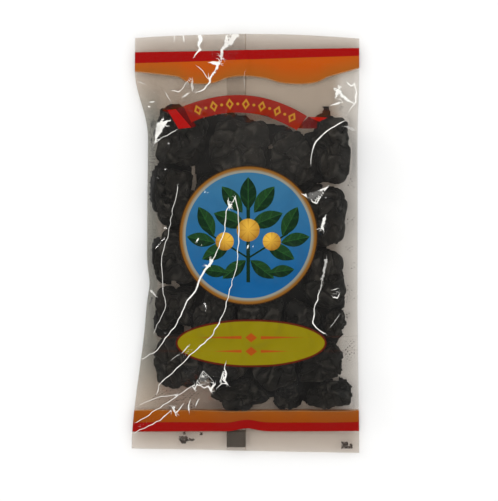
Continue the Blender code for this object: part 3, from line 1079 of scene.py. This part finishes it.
def make_film_mesh():
    """The whole web, from the fin's outer edge round the bag to its inner edge."""
    flat_y = np.linspace(-BAG_LENGTH / 2, BAG_LENGTH / 2, ROWS)
    same = np.ones(ROWS)
    left, right = side_folds(flat_y)
    left_x, right_x = left + PITCH / 2, right - PITCH / 2
    rows = flat_y[:, None]
    front_x, front_z, front_crumple, front_crease = drape_front(flat_y)

    outer_fin = across(-FIN_WIDTH * same, -FIN_START * same, FIN_COLUMNS)
    right_back = across(0 * same, right_x, BACK_COLUMNS)
    left_back = across(left_x, (-FIN_WIDTH - FIN_SLOPE) * same, LEFT_BACK_COLUMNS)
    over_fin = across((-FIN_WIDTH - FIN_SLOPE / 2) * same, 0 * same, OVER_FIN_COLUMNS)
    inner_fin = across(0 * same, -FIN_WIDTH * same, FIN_COLUMNS)

    def on_back(x, lift=0.0):
        return x, back_height(x, rows) + lift

    left_back = np.concatenate([left_back, over_fin], axis=1)
    right_fold = half_round(right_x, back_height(right_x, flat_y), front_z[:, -1], 1)
    left_fold = half_round(left_x, front_z[:, 0], back_height(left_x, flat_y), -1)
    seam = back_height(0 * same, flat_y)
    turn = half_round(0 * same, seam + 2 * PITCH, seam + PITCH, 1)
    sections = [
        on_back(outer_fin),
        on_back(right_back),
        right_fold,
        (front_x[:, ::-1], front_z[:, ::-1]),
        left_fold,
        on_back(left_back, 2 * PITCH * fin_stack(left_back)),
        turn,
        on_back(inner_fin, PITCH),
    ]
    x = np.concatenate([s[0] for s in sections], axis=1)
    z = np.concatenate([s[1] for s in sections], axis=1)
    y = to_world_y(x, np.broadcast_to(rows, x.shape))
    columns = x.shape[1]
    start = outer_fin.shape[1] + right_back.shape[1] + FOLD_POINTS
    front = slice(start, start + FRONT_COLUMNS)
    crease = np.zeros((ROWS, columns, 3))
    crease[..., 0] = CREASE_REACH
    crease[:, front] = front_crease[:, ::-1]
    crumpled = np.zeros((ROWS, columns))
    crumpled[:, front] = front_crumple[:, ::-1]
    panel = np.zeros((ROWS, columns))
    panel[:, start - FOLD_POINTS : start + FRONT_COLUMNS + FOLD_POINTS] = FRONT_PANEL
    panel[:, : FIN_COLUMNS] = panel[:, -FIN_COLUMNS:] = FIN_PANEL
    place = np.stack([x / MM, y / MM, panel], axis=-1)

    corners = np.stack([x, y, z], axis=-1).reshape(-1, 3)
    mesh = bpy.data.meshes.new("film")
    mesh.from_pydata(corners.tolist(), [], grid_faces(ROWS, columns).reshape(-1, 4).tolist())
    for name, values in (("crease", crease), ("print_place", place)):
        kept = mesh.attributes.new(name, "FLOAT_VECTOR", "POINT")
        kept.data.foreach_set("vector", values.ravel())
    set_values(mesh, "crumple", crumpled.ravel())
    return mesh


# Print: coloured inks laid on the film before the bag was made. Bands run round both ends and
# over the back. The front has a ribbon, a round picture and an oval, and the fin a grey mark.
# Where the film is creased, both are painted white: painted highlight along the creases, with the
# whitening of creased film. The printed web is finished at the section's end.

# Places in millimetres from the middle of the bag
TOP_RED = (112.9, 107.4)
TOP_SLANT = (0.020, 0.034)
BOTTOM_ORANGE = (-97.4, -104.4)
BOTTOM_RED = (-104.4, -109.7)
BOTTOM_SLOPE = 0.002
BOTTOM_BUMP = (0.5, 7.0, 1.9)
WAVE_SPAN = (-65.0, 67.0)
WAVE_HEIGHTS = (
    (0.0, 100.4),
    (0.11, 99.2),
    (0.19, 97.8),
    (0.29, 93.6),
    (0.41, 97.0),
    (0.48, 98.2),
    (0.56, 97.4),
    (0.73, 93.6),
    (0.86, 97.8),
    (1.0, 102.8),
)
WAVE_SOFTNESS = 1.2
ORANGE_FADE = 9.0
RIBBON_CENTRE = (-4.6, 16.3)
RIBBON_RADII = (59.4, 70.4)
RIBBON_ENDS = (-26.5, 35.0)
PICTURE_CENTRE = (1.6, 4.6)
PICTURE_RADIUS = 36.1
# Leaves of the sprig's right half, from the picture's middle: middle, turn, length and width
LEAVES = (
    (0.0, 24.0, 90.0, 19.0, 9.5),
    (9.2, 20.5, 52.0, 19.0, 9.0),
    (10.5, 9.0, 22.0, 20.0, 9.5),
    (24.0, 8.0, 62.0, 19.0, 9.0),
    (27.0, -2.5, 12.0, 17.0, 8.0),
    (18.5, -9.5, -28.0, 18.0, 8.5),
    (8.0, -19.5, -38.0, 17.0, 8.0),
    (19.0, -20.5, 8.0, 15.0, 7.0),
)
FRUITS = ((0.0, 3.0, 6.6), (13.5, -3.5, 5.2))
OVAL_CENTRE = (3.3, -57.4)
OVAL_HALF = (43.4, 13.8)
OVAL_BORDER = 1.1
OVAL_RULES = ((3.4, 30.0), (-4.6, 22.0))
RULE_HALF = 1.1
RULE_REACH = 5.5
OVAL_LOZENGE = (3.4, 2.7)
LOZENGE_PITCH = 9.4
LOZENGE = (2.3, 3.5)
LOZENGE_HOLLOW = (1.1, 1.7)
DOT_RADIUS = 0.85
ROW_REACH = 31.5
EYE_MARK = (-11.0, 0.2, -119.0, -109.2)
EDGE_SOFTNESS = 0.18
HAIRLINE_PITCH = 1.7
FACET_LEAN = 0.95
INK_GLOW = 0.5
FILM_SHINE = 1.35

RED = linear(154, 4, 2)
LOW_RED = linear(144, 6, 2)
TOP_ORANGE = (linear(184, 80, 4), linear(160, 88, 22))
PALE_ORANGE = linear(206, 142, 76)
LOW_ORANGE = (linear(152, 78, 4), linear(144, 66, 2))
RIBBON_RED = linear(138, 22, 8)
RIBBON_LIGHT = linear(164, 12, 8)
RIBBON_DARK = linear(92, 8, 6)
RIBBON_TAILS = (
    (RIBBON_DARK, ((-47.7, 77.1), (-45.0, 77.2), (-43.5, 74.0))),
    (RIBBON_LIGHT, ((-45.1, 77.1), (-40.2, 77.5), (-30.9, 66.6), (-38.4, 65.8))),
    (RIBBON_DARK, ((-40.3, 77.5), (-35.5, 79.4), (-28.4, 67.4), (-31.0, 66.5))),
    (RIBBON_DARK, ((29.2, 66.2), (36.6, 73.5), (41.5, 70.9), (41.1, 66.2))),
    (RIBBON_LIGHT, ((36.6, 73.5), (47.6, 72.6), (42.6, 70.2))),
)
GOLD = linear(184, 130, 30)
BROWN = linear(134, 88, 30)
TAN = linear(136, 116, 88)
BROWN_EDGE = linear(70, 42, 12)
PALE = linear(138, 138, 126)
PICTURE_RINGS = ((39.9, 0.5, BROWN_EDGE), (39.3, 0.8, BROWN), (38.0, 0.6, TAN), (37.3, 0.4, PALE))
SKY = linear(50, 106, 142)
WATER = linear(14, 88, 142)
LEAF_DARK = linear(14, 42, 22)
LEAF_LIGHT = linear(36, 78, 36)
FRUIT_DARK = linear(120, 66, 10)
FRUIT_LIGHT = linear(228, 178, 62)
OVAL_YELLOW = linear(135, 122, 0)
OVAL_RIM = linear(88, 26, 8)
ORNAMENT = linear(166, 72, 10)
MARK_GREY = linear(76, 70, 62)
HAZE = linear(222, 214, 204)
CREASE_GLINT_WHITE = linear(252, 250, 244)
STAIN = linear(46, 38, 28)
FILM_TINT = (0.836, 0.790, 0.742)
SEAL_TINT = (0.868, 0.830, 0.792)
FIN_TINT = (0.985, 0.980, 0.975)
# Tints with painted shade at the left fold, painted light at the right fold, and a darker lower left
# corner
LEFT_SHADE_TINT = (0.700, 0.690, 0.655)
RIGHT_LIGHT_TINT = (0.925, 0.905, 0.880)
LOWER_LEFT_TINT = (0.780, 0.725, 0.680)


def inside(distance, softness=EDGE_SOFTNESS):
    """1 where a distance in millimetres is below 0, with a soft edge."""
    return (0.5 - distance / softness).clamp()


def distance(dx, dy):
    """Straight distance of a place that lies dx across and dy along."""
    return (dx * dx + dy * dy).math("SQRT")


def lozenge(beside, above, half, softness):
    """1 inside a lozenge of the half sizes given."""
    return inside(beside / half[0] + above / half[1] - 1, softness)


def convex(x, y, corners):
    """Distance outside a shape with straight sides, its corners given clockwise."""
    outside = None
    for (ax, ay), (bx, by) in zip(corners, corners[1:] + corners[:1]):
        length = math.hypot(bx - ax, by - ay)
        nx, ny = (ay - by) / length, (bx - ax) / length
        past_side = x * nx + y * ny - (ax * nx + ay * ny)
        outside = past_side if outside is None else outside.math("MAXIMUM", past_side)
    return outside


class Ink:
    """The print as it builds up: its colour and how far it covers the clear film."""

    def __init__(self, tree, colour, cover):
        self.tree = tree
        self.colour = colour
        self.cover = cover

    def lay(self, mask, colour, cover=0.96):
        laid = mask * cover
        total = laid + (1 - mask) * self.cover
        self.colour = blend(self.tree, laid / total.math("MAXIMUM", 0.001), self.colour, colour)
        self.cover = total


def wavy_edge(tree, x):
    """Height of the upper orange band's lower edge at x."""
    low = min(height for _, height in WAVE_HEIGHTS)
    high = max(height for _, height in WAVE_HEIGHTS)
    node = tree.nodes.new("ShaderNodeFloatCurve")
    curve = node.mapping.curves[0]
    points = [(share, (height - low) / (high - low)) for share, height in WAVE_HEIGHTS]
    curve.points[0].location, curve.points[1].location = points[0], points[-1]
    for share, height in points[1:-1]:
        curve.points.new(share, height)
    node.mapping.update()
    plug(node.inputs["Value"], (x - WAVE_SPAN[0]) / (WAVE_SPAN[1] - WAVE_SPAN[0]))
    return Field(node.outputs[0]) * (high - low) + low


def lay_bands(ink, x, y):
    """The bands round both ends, on the front and on the back."""
    upper = TOP_RED[0] + x * TOP_SLANT[0]
    lower = TOP_RED[1] + x * TOP_SLANT[1]
    wave = wavy_edge(ink.tree, x)
    shade = (y - wave) / ORANGE_FADE
    orange = blend(ink.tree, shade.clamp(), TOP_ORANGE[1], TOP_ORANGE[0])
    lip = inside(wave - y, WAVE_SOFTNESS)
    orange = blend(ink.tree, lip.rise(0.25, 1.0), PALE_ORANGE, orange)
    ink.lay(inside(y - lower) * lip, orange)
    ink.lay(inside(y - upper) * inside(lower - y), RED)
    middle, reach, rise = BOTTOM_BUMP
    bump = (((x - middle) / reach).math("POWER", 2) * -1).math("EXPONENT") * rise
    low = y - x * BOTTOM_SLOPE - bump * (BOTTOM_ORANGE[0] - y).rise(0, 6)
    shade = (BOTTOM_ORANGE[0] - low) / (BOTTOM_ORANGE[0] - BOTTOM_ORANGE[1])
    orange = blend(ink.tree, shade.clamp(), *LOW_ORANGE)
    lip = inside(low - BOTTOM_ORANGE[0], WAVE_SOFTNESS)
    orange = blend(ink.tree, lip.rise(0.25, 1.0), PALE_ORANGE, orange)
    ink.lay(lip * inside(BOTTOM_ORANGE[1] - low), orange)
    ink.lay(inside(low - BOTTOM_RED[0]) * inside(BOTTOM_RED[1] - low), LOW_RED)


def lay_ribbon(ink, x, y, front):
    """A red ribbon in an arc, its ends folded back, with a row of gold lozenges and dots."""
    along_x, along_y = x - RIBBON_CENTRE[0], y - RIBBON_CENTRE[1]
    radius = distance(along_x, along_y)
    turn = along_x.math("ARCTAN2", along_y)
    for colour, corners in RIBBON_TAILS:
        ink.lay(inside(convex(x, y, corners)) * front, colour, 0.93)
    start, end = (math.radians(a) for a in RIBBON_ENDS)
    middle = (RIBBON_RADII[0] + RIBBON_RADII[1]) / 2
    thick = (RIBBON_RADII[1] - RIBBON_RADII[0]) / 2
    across_band = radius - middle
    band = inside(abs(across_band) - thick)
    band = band * inside((start - turn) * middle) * inside((turn - end) * middle) * front
    ink.lay(band, RIBBON_RED, 0.93)
    run = (turn - (start + end) / 2) * middle
    half_pitch = LOZENGE_PITCH / 2
    near = abs(run.math("WRAP", half_pitch, -half_pitch))
    from_dot = abs((run + half_pitch).math("WRAP", half_pitch, -half_pitch))
    outline = lozenge(near, abs(across_band), LOZENGE, 0.12)
    hollow = lozenge(near, abs(across_band), LOZENGE_HOLLOW, 0.12)
    dot = inside(distance(from_dot, across_band) - DOT_RADIUS)
    row = inside(abs(run) - ROW_REACH)
    ink.lay(band * row * (outline * (1 - hollow)).math("MAXIMUM", dot), GOLD, 0.95)


def make_leaf_group():
    """A pointed leaf: a mask, and a shade that is light along the rib and on one side."""
    inputs = dict.fromkeys(("X", "Y", "Middle X", "Middle Y", "Turn", "Length", "Width"), "Float")
    outputs = dict.fromkeys(("Mask", "Shade"), "Float")
    group, given = new_group("ShaderNodeTree", "leaf", inputs, outputs)
    given = {name: Field(given[name]) for name in inputs}
    dx, dy = given["X"] - given["Middle X"], given["Y"] - given["Middle Y"]
    cosine, sine = given["Turn"].math("COSINE"), given["Turn"].math("SINE")
    along = (dx * cosine + dy * sine) / (given["Length"] * 0.5)
    over = (dy * cosine - dx * sine) / (given["Width"] * 0.5)
    belly = 1 - along * along
    outside = abs(over) - belly
    mask = inside(outside * given["Width"] * 0.5)
    rib = inside(abs(over) - 0.07, 0.06)
    veins = (along * 9 - abs(over) * 4).math("SINE").rise(0.5, 1.0)
    shade = over.rise(-0.15, 0.15) * 0.45 + 0.25 * veins + 0.5 * rib
    add_node(group, "NodeGroupOutput", {"Mask": mask, "Shade": shade.clamp()})
    return group


def lay_picture(ink, x, y, front):
    """A round picture in a gilt ring: a leafy sprig with gold fruits on blue ground."""
    dx, dy = x - PICTURE_CENTRE[0], y - PICTURE_CENTRE[1]
    radius = distance(dx, dy)
    for reach, softness, colour in PICTURE_RINGS:
        ink.lay(inside(radius - reach, softness) * front, colour, 0.97)
    picture = inside(radius - PICTURE_RADIUS) * front
    stretched = add_node(ink.tree, "ShaderNodeCombineXYZ", {0: dx, 1: dy * 2.5}).outputs[0]
    drift = cloudy(ink.tree, stretched, 0.05, 3)
    sky = blend(ink.tree, (0.5 - dy / 60 + (drift - 0.5) * 0.5).clamp(), SKY, WATER)
    ink.lay(picture, sky, 0.97)
    leaf = make_leaf_group()
    mirrored = abs(dx)
    stem = inside(abs(mirrored - 0.5) - 0.55) * inside(dy - 20) * inside(-27 - dy)
    branch = inside(abs(dy + 13 - mirrored * 0.62) - 0.6) * inside(mirrored - 23)
    ink.lay(picture * stem.math("MAXIMUM", branch), LEAF_DARK, 0.97)
    for middle_x, middle_y, turn, length, width in LEAVES:
        values = {
            "X": mirrored,
            "Y": dy,
            "Middle X": middle_x,
            "Middle Y": middle_y,
            "Turn": math.radians(turn),
            "Length": length,
            "Width": width,
        }
        drawn = add_node(ink.tree, "ShaderNodeGroup", values, node_tree=leaf)
        green = blend(ink.tree, drawn.outputs["Shade"], LEAF_DARK, LEAF_LIGHT)
        ink.lay(picture * Field(drawn.outputs["Mask"]), green, 0.97)
    for middle_x, middle_y, size in FRUITS:
        fx, fy = mirrored - middle_x, dy - middle_y
        ribs = abs((fx.math("ARCTAN2", fy) * 4).math("SINE")).rise(0.0, 0.5)
        from_light = distance(fx + 2, fy - 2.5)
        round_shade = (1.15 - from_light / (size * 1.7)).clamp() * (0.65 + 0.35 * ribs)
        gold = blend(ink.tree, round_shade, FRUIT_DARK, FRUIT_LIGHT)
        ink.lay(picture * inside(distance(fx, fy) - size), gold, 0.97)


def lay_oval(ink, x, y, front):
    """A yellow oval with a dark rim, and two plain rules with a lozenge between."""
    dx, dy = x - OVAL_CENTRE[0], y - OVAL_CENTRE[1]
    tall = OVAL_HALF[0] / OVAL_HALF[1]
    radius = (dx * dx + dy * dy * (tall * tall)).math("SQRT")
    slope = (dx * dx + dy * dy * tall**4).math("SQRT") / radius.math("MAXIMUM", 1)
    from_edge = (radius - OVAL_HALF[0]) / slope
    ink.lay(inside(from_edge) * front, OVAL_RIM, 0.97)
    ink.lay(inside(from_edge + OVAL_BORDER) * front, OVAL_YELLOW, 0.95)
    wide = abs(dx)
    for middle, reach in OVAL_RULES:
        tapered = RULE_HALF * (1 - wide / reach).clamp()
        rule = inside(abs(dy - middle) - tapered) * inside(RULE_REACH - wide)
        diamond = lozenge(wide, abs(dy - middle), OVAL_LOZENGE, 0.2)
        ink.lay(rule.math("MAXIMUM", diamond) * front, ORNAMENT, 0.95)


def lay_eye_mark(ink, x, y, fin):
    """A grey block near the foot of the fin, which the bag machine reads to cut to length."""
    left, right, low, high = EYE_MARK
    across = abs(x - (left + right) / 2) - (right - left) / 2
    along = abs(y - (low + high) / 2) - (high - low) / 2
    ink.lay(inside(across.math("MAXIMUM", along)) * fin, MARK_GREY, 0.92)


def lay_hairlines(ink, place, x, y, front):
    """Fine dark lines where the left margin has been folded and rubbed."""
    waver = y + 1.2 * cloudy(ink.tree, place, 140, 2)
    near = abs(waver.math("WRAP", HAIRLINE_PITCH / 2, -HAIRLINE_PITCH / 2))
    broken = cloudy(ink.tree, place, 260, 2).rise(0.47, 0.62)
    margin = (0 - x).rise(49, 53)
    where = inside(abs(y - 48) - 8, 3).math("MAXIMUM", inside(abs(y - 8) - 5, 3))
    ink.lay(inside(near - 0.12, 0.2) * broken * margin * where * front * 0.7, STAIN, 0.9)


def make_facet_group():
    """Creased film: how white it is painted near a crease, as painted highlight with the film's own
    whitening, and how high it stands.
    """
    numbers = ("Side", "Light", "Width", "Crumple")
    inputs = {"Place": "Vector", **dict.fromkeys(numbers, "Float")}
    outputs = dict.fromkeys(("Glint_White", "Height"), "Float")
    group, given = new_group("ShaderNodeTree", "crease", inputs, outputs)
    side, light, width, crumple = (Field(given[name]) for name in numbers)
    place = given["Place"]
    shards = add_node(group, "ShaderNodeTexVoronoi", {"Vector": place, "Scale": 520.0})
    random = Field(add_node(group, "ShaderNodeSeparateColor", {0: shards.outputs["Color"]}).outputs[0])
    wide = width.rise(0.45, 0.90)
    off = abs(side) + wide * (random - 0.35) * width.math("MINIMUM", 0.8)
    uneven = cloudy(group, place, 230, 2)
    reach = width * (0.40 + 0.40 * wide + (1.1 - 0.7 * wide) * uneven)
    crest_highlight = 1 - (off / reach).rise(0.55, 1.0)
    strength = 0.70 + 0.20 * wide + 0.60 * cloudy(group, place, 190, 2)
    glint_white = (crest_highlight * light * strength).clamp()
    cells = add_node(group, "ShaderNodeTexVoronoi", {"Vector": place, "Scale": 300.0})

    def vectors(operation, first, second):
        made = add_node(group, "ShaderNodeVectorMath", {0: first, 1: second}, operation=operation)
        return made.outputs

    from_cell = vectors("SUBTRACT", place, cells.outputs["Position"])[0]
    leaning = vectors("SUBTRACT", cells.outputs["Color"], (0.5, 0.5, 0.5))[0]
    facet = vectors("DOT_PRODUCT", from_cell, leaning)["Value"]
    facets = Field(facet) * FACET_LEAN * crumple / MM
    ripple = cloudy(group, place, 120, 3) * 0.08
    height = facets + ripple + 0.12 * crest_highlight * light
    add_node(group, "NodeGroupOutput", {"Glint_White": glint_white, "Height": height})
    return group


def split(tree, vector):
    """The three numbers that a vector holds."""
    return [Field(number) for number in add_node(tree, "ShaderNodeSeparateXYZ", {0: vector}).outputs]


def make_film_material():
    """Clear film with its print: mirrors a little, and is painted white where it is creased, as
    painted highlight with the film's own whitening.
    """
    material, tree = empty_material("printed_film")
    place = object_place(tree)
    x, y, panel = split(tree, attribute(tree, "print_place", "Vector"))
    side, light, width = split(tree, attribute(tree, "crease", "Vector"))
    crumple = Field(attribute(tree, "crumple"))
    front = panel.rise(0.4, 0.6)
    fin = (0 - panel).rise(0.4, 0.6)
    pressed = inside(y - BOTTOM_RED[1] + 0.3, 1.5).math("MAXIMUM", inside(TOP_RED[0] - 0.3 - y, 1.5))

    # Clear film: almost nothing but a faint haze, and whiter in the pressed seals.
    dusty = cloudy(tree, place, 120, 4)
    scuffs = cloudy(tree, place, 900, 2)
    mist_x, mist_y = (x - 10) / 34, (y - 55) / 20
    mist = ((mist_x * mist_x + mist_y * mist_y) * -1).math("EXPONENT")
    haze = 0.002 + 0.008 * dusty.rise(0.45, 0.75) + 0.03 * scuffs.rise(0.68, 0.8)
    haze = haze + (0.03 * pressed + 0.014 * mist) * front
    ink = Ink(tree, HAZE, haze)
    lay_hairlines(ink, place, x, y, front)
    lay_bands(ink, x, y)
    lay_ribbon(ink, x, y, front)
    lay_picture(ink, x, y, front)
    lay_oval(ink, x, y, front)
    lay_eye_mark(ink, x, y, fin)

    # Painted highlight: creased film is painted white along the crest of the crease, for its glint and
    # for the film's own whitening.
    creased = add_node(
        tree,
        "ShaderNodeGroup",
        {"Place": place, "Side": side, "Light": light, "Width": width, "Crumple": crumple},
        node_tree=make_facet_group(),
    ).outputs
    ink.lay(Field(creased["Glint_White"]), CREASE_GLINT_WHITE, 0.95)
    bump = add_node(
        tree, "ShaderNodeBump", {"Strength": 1.0, "Distance": MM, "Height": creased["Height"]}
    ).outputs[0]
    body = add_node(
        tree,
        "ShaderNodeBsdfPrincipled",
        {"Base Color": ink.colour, "Roughness": 0.5, "Specular IOR Level": 0.0, "Normal": bump},
    )

    # Painted light and shade in the tint: lighter at the right fold, where light falls, darker at the
    # left one, where shade falls, and darker in the lower left corner.
    shade_rows = inside(y - 82, 22) * inside(-76 - y, 30)
    tint = blend(tree, (0 - x).rise(47, 54) * shade_rows, FILM_TINT, LEFT_SHADE_TINT)
    tint = blend(tree, x.rise(50, 57), tint, RIGHT_LIGHT_TINT)
    corner = inside(y + 76, 14) * inside(x + 8, 12) * inside(-50 - x, 10)
    tint = blend(tree, corner, tint, LOWER_LEFT_TINT)
    tint = blend(tree, pressed, tint, SEAL_TINT)
    tint = blend(tree, fin, tint, FIN_TINT)
    clear = add_node(tree, "ShaderNodeBsdfTransparent", {"Color": tint})
    shadowing = Field(tree.nodes.new("ShaderNodeLightPath").outputs["Is Shadow Ray"])
    cover = ink.cover * (1 - INK_GLOW * shadowing)
    see_through = add_node(
        tree, "ShaderNodeMixShader", {0: cover, 1: clear.outputs[0], 2: body.outputs[0]}
    )
    gloss = add_node(
        tree,
        "ShaderNodeBsdfGlossy",
        {"Color": (1.0, 1.0, 1.0), "Roughness": 0.10 + 0.08 * crumple, "Normal": bump},
    )
    fresnel = add_node(tree, "ShaderNodeFresnel", {"IOR": 1.5, "Normal": bump})
    shine = (Field(fresnel.outputs[0]) * FILM_SHINE).clamp()
    shiny = add_node(
        tree, "ShaderNodeMixShader", {0: shine, 1: see_through.outputs[0], 2: gloss.outputs[0]}
    )
    nothing = add_node(tree, "ShaderNodeBsdfTransparent", {"Color": (1.0, 1.0, 1.0)})
    back = tree.nodes.new("ShaderNodeNewGeometry").outputs["Backfacing"]
    whole = add_node(
        tree, "ShaderNodeMixShader", {0: back, 1: shiny.outputs[0], 2: nothing.outputs[0]}
    )
    add_node(tree, "ShaderNodeOutputMaterial", {"Surface": whole.outputs[0]})
    return material


film = link_object("bag_film", make_film_mesh())
thickness = film.modifiers.new("Film thickness", "SOLIDIFY")
thickness.thickness = FILM
thickness.offset = 0
film_mesh = apply_modifiers(film)
film_mesh.materials.clear()
film_mesh.materials.append(make_film_material())
film_mesh.shade_smooth()
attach(film, "root")
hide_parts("film")


# Floor, light and camera: a pale table top, one soft box at the upper left, and the camera
# straight above, as far off as the photograph's perspective needs.

FLOOR_SIZE = 6.0
FLOOR_COLOURS = ((0.86, 0.86, 0.855), (0.88, 0.88, 0.875))
PIXEL = 0.587 * MM
IMAGE_HEIGHT = 501
CAMERA_HEIGHT = 1.0
CAMERA_PLACE = (0.00205, -0.0041)
SENSOR = 36.0
KEY_PLACE = Vector((-1.61, 0.89, 0.98))
KEY_SIZE = (0.20, 0.34)
KEY_POWER = 4.4
KEY_COLOUR = (1.0, 0.985, 0.96)
SURROUND_LIGHT = (0.52, 1.26)
SURROUND_SLANT = (0.04, 0.14)
SURROUND_SHINE = (0.15, 0.06)
BACKDROP = 0.90
FLOOR_DIMMING = 0.85


def make_floor():
    mesh = bpy.data.meshes.new("floor")
    half = FLOOR_SIZE / 2
    corners = [(-half, -half, 0), (half, -half, 0), (half, half, 0), (-half, half, 0)]
    mesh.from_pydata(corners, [], [(0, 1, 2, 3)])
    material, tree = empty_material("pale_table")
    colour = blend(tree, cloudy(tree, object_place(tree), 9, 4), *FLOOR_COLOURS)
    mirrored = Field(tree.nodes.new("ShaderNodeLightPath").outputs["Is Glossy Ray"])
    colour = blend(tree, mirrored * FLOOR_DIMMING, colour, (0.0, 0.0, 0.0))
    shader = add_node(
        tree,
        "ShaderNodeBsdfPrincipled",
        {"Base Color": colour, "Roughness": 0.7, "Specular IOR Level": 0.2},
    )
    add_node(tree, "ShaderNodeOutputMaterial", {"Surface": shader.outputs[0]})
    mesh.materials.append(material)
    floor = link_object("floor", mesh)
    floor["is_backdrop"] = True


def make_world():
    """Even soft surroundings, stronger overhead, that the film mirrors only faintly."""
    world = bpy.data.worlds.new("studio")
    bpy.context.scene.world = world
    world.use_nodes = True
    tree = world.node_tree
    tree.nodes.clear()
    way = tree.nodes.new("ShaderNodeTexCoord").outputs["Generated"]
    east, north, up = split(tree, way)
    up = up.math("MAXIMUM", 0)
    path = tree.nodes.new("ShaderNodeLightPath").outputs
    mirrored, seen = Field(path["Is Glossy Ray"]), Field(path["Is Camera Ray"])
    overhead = up.rise(0.2, 0.9)
    shine = SURROUND_SHINE[0] * (1 - overhead) + SURROUND_SHINE[1] * overhead
    light = SURROUND_LIGHT[0] + SURROUND_LIGHT[1] * up * up
    light = light + SURROUND_SLANT[0] * east + SURROUND_SLANT[1] * north
    light = light * (1 - mirrored) + shine * mirrored
    light = light * (1 - seen) + BACKDROP * seen
    background = add_node(tree, "ShaderNodeBackground", {"Color": (1.0, 1.0, 1.0), "Strength": light})
    add_node(tree, "ShaderNodeOutputWorld", {"Surface": background.outputs[0]})


def make_key_light():
    lamp = bpy.data.lights.new("soft_box", "AREA")
    lamp.shape = "RECTANGLE"
    lamp.size, lamp.size_y = KEY_SIZE
    lamp.energy = KEY_POWER
    lamp.color = KEY_COLOUR
    light = bpy.data.objects.new("soft_box", lamp)
    bpy.context.scene.collection.objects.link(light)
    light.location = KEY_PLACE
    light.rotation_euler = (-KEY_PLACE).to_track_quat("-Z", "Y").to_euler()


def make_camera():
    eye = bpy.data.cameras.new("camera")
    eye.sensor_width = SENSOR
    eye.lens = SENSOR * CAMERA_HEIGHT / (PIXEL * IMAGE_HEIGHT)
    eye.clip_start = 0.01
    camera = bpy.data.objects.new("camera", eye)
    bpy.context.scene.collection.objects.link(camera)
    camera.location = (*CAMERA_PLACE, CAMERA_HEIGHT)
    bpy.context.scene.camera = camera


make_floor()
make_world()
make_key_light()
make_camera()
bpy.context.scene.view_settings.view_transform = "Standard"
bpy.context.scene.cycles.transparent_max_bounces = 32

low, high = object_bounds()
sizes = {"cad": [list(cad_low), list(cad_high)], "visual": [list(low), list(high)]}
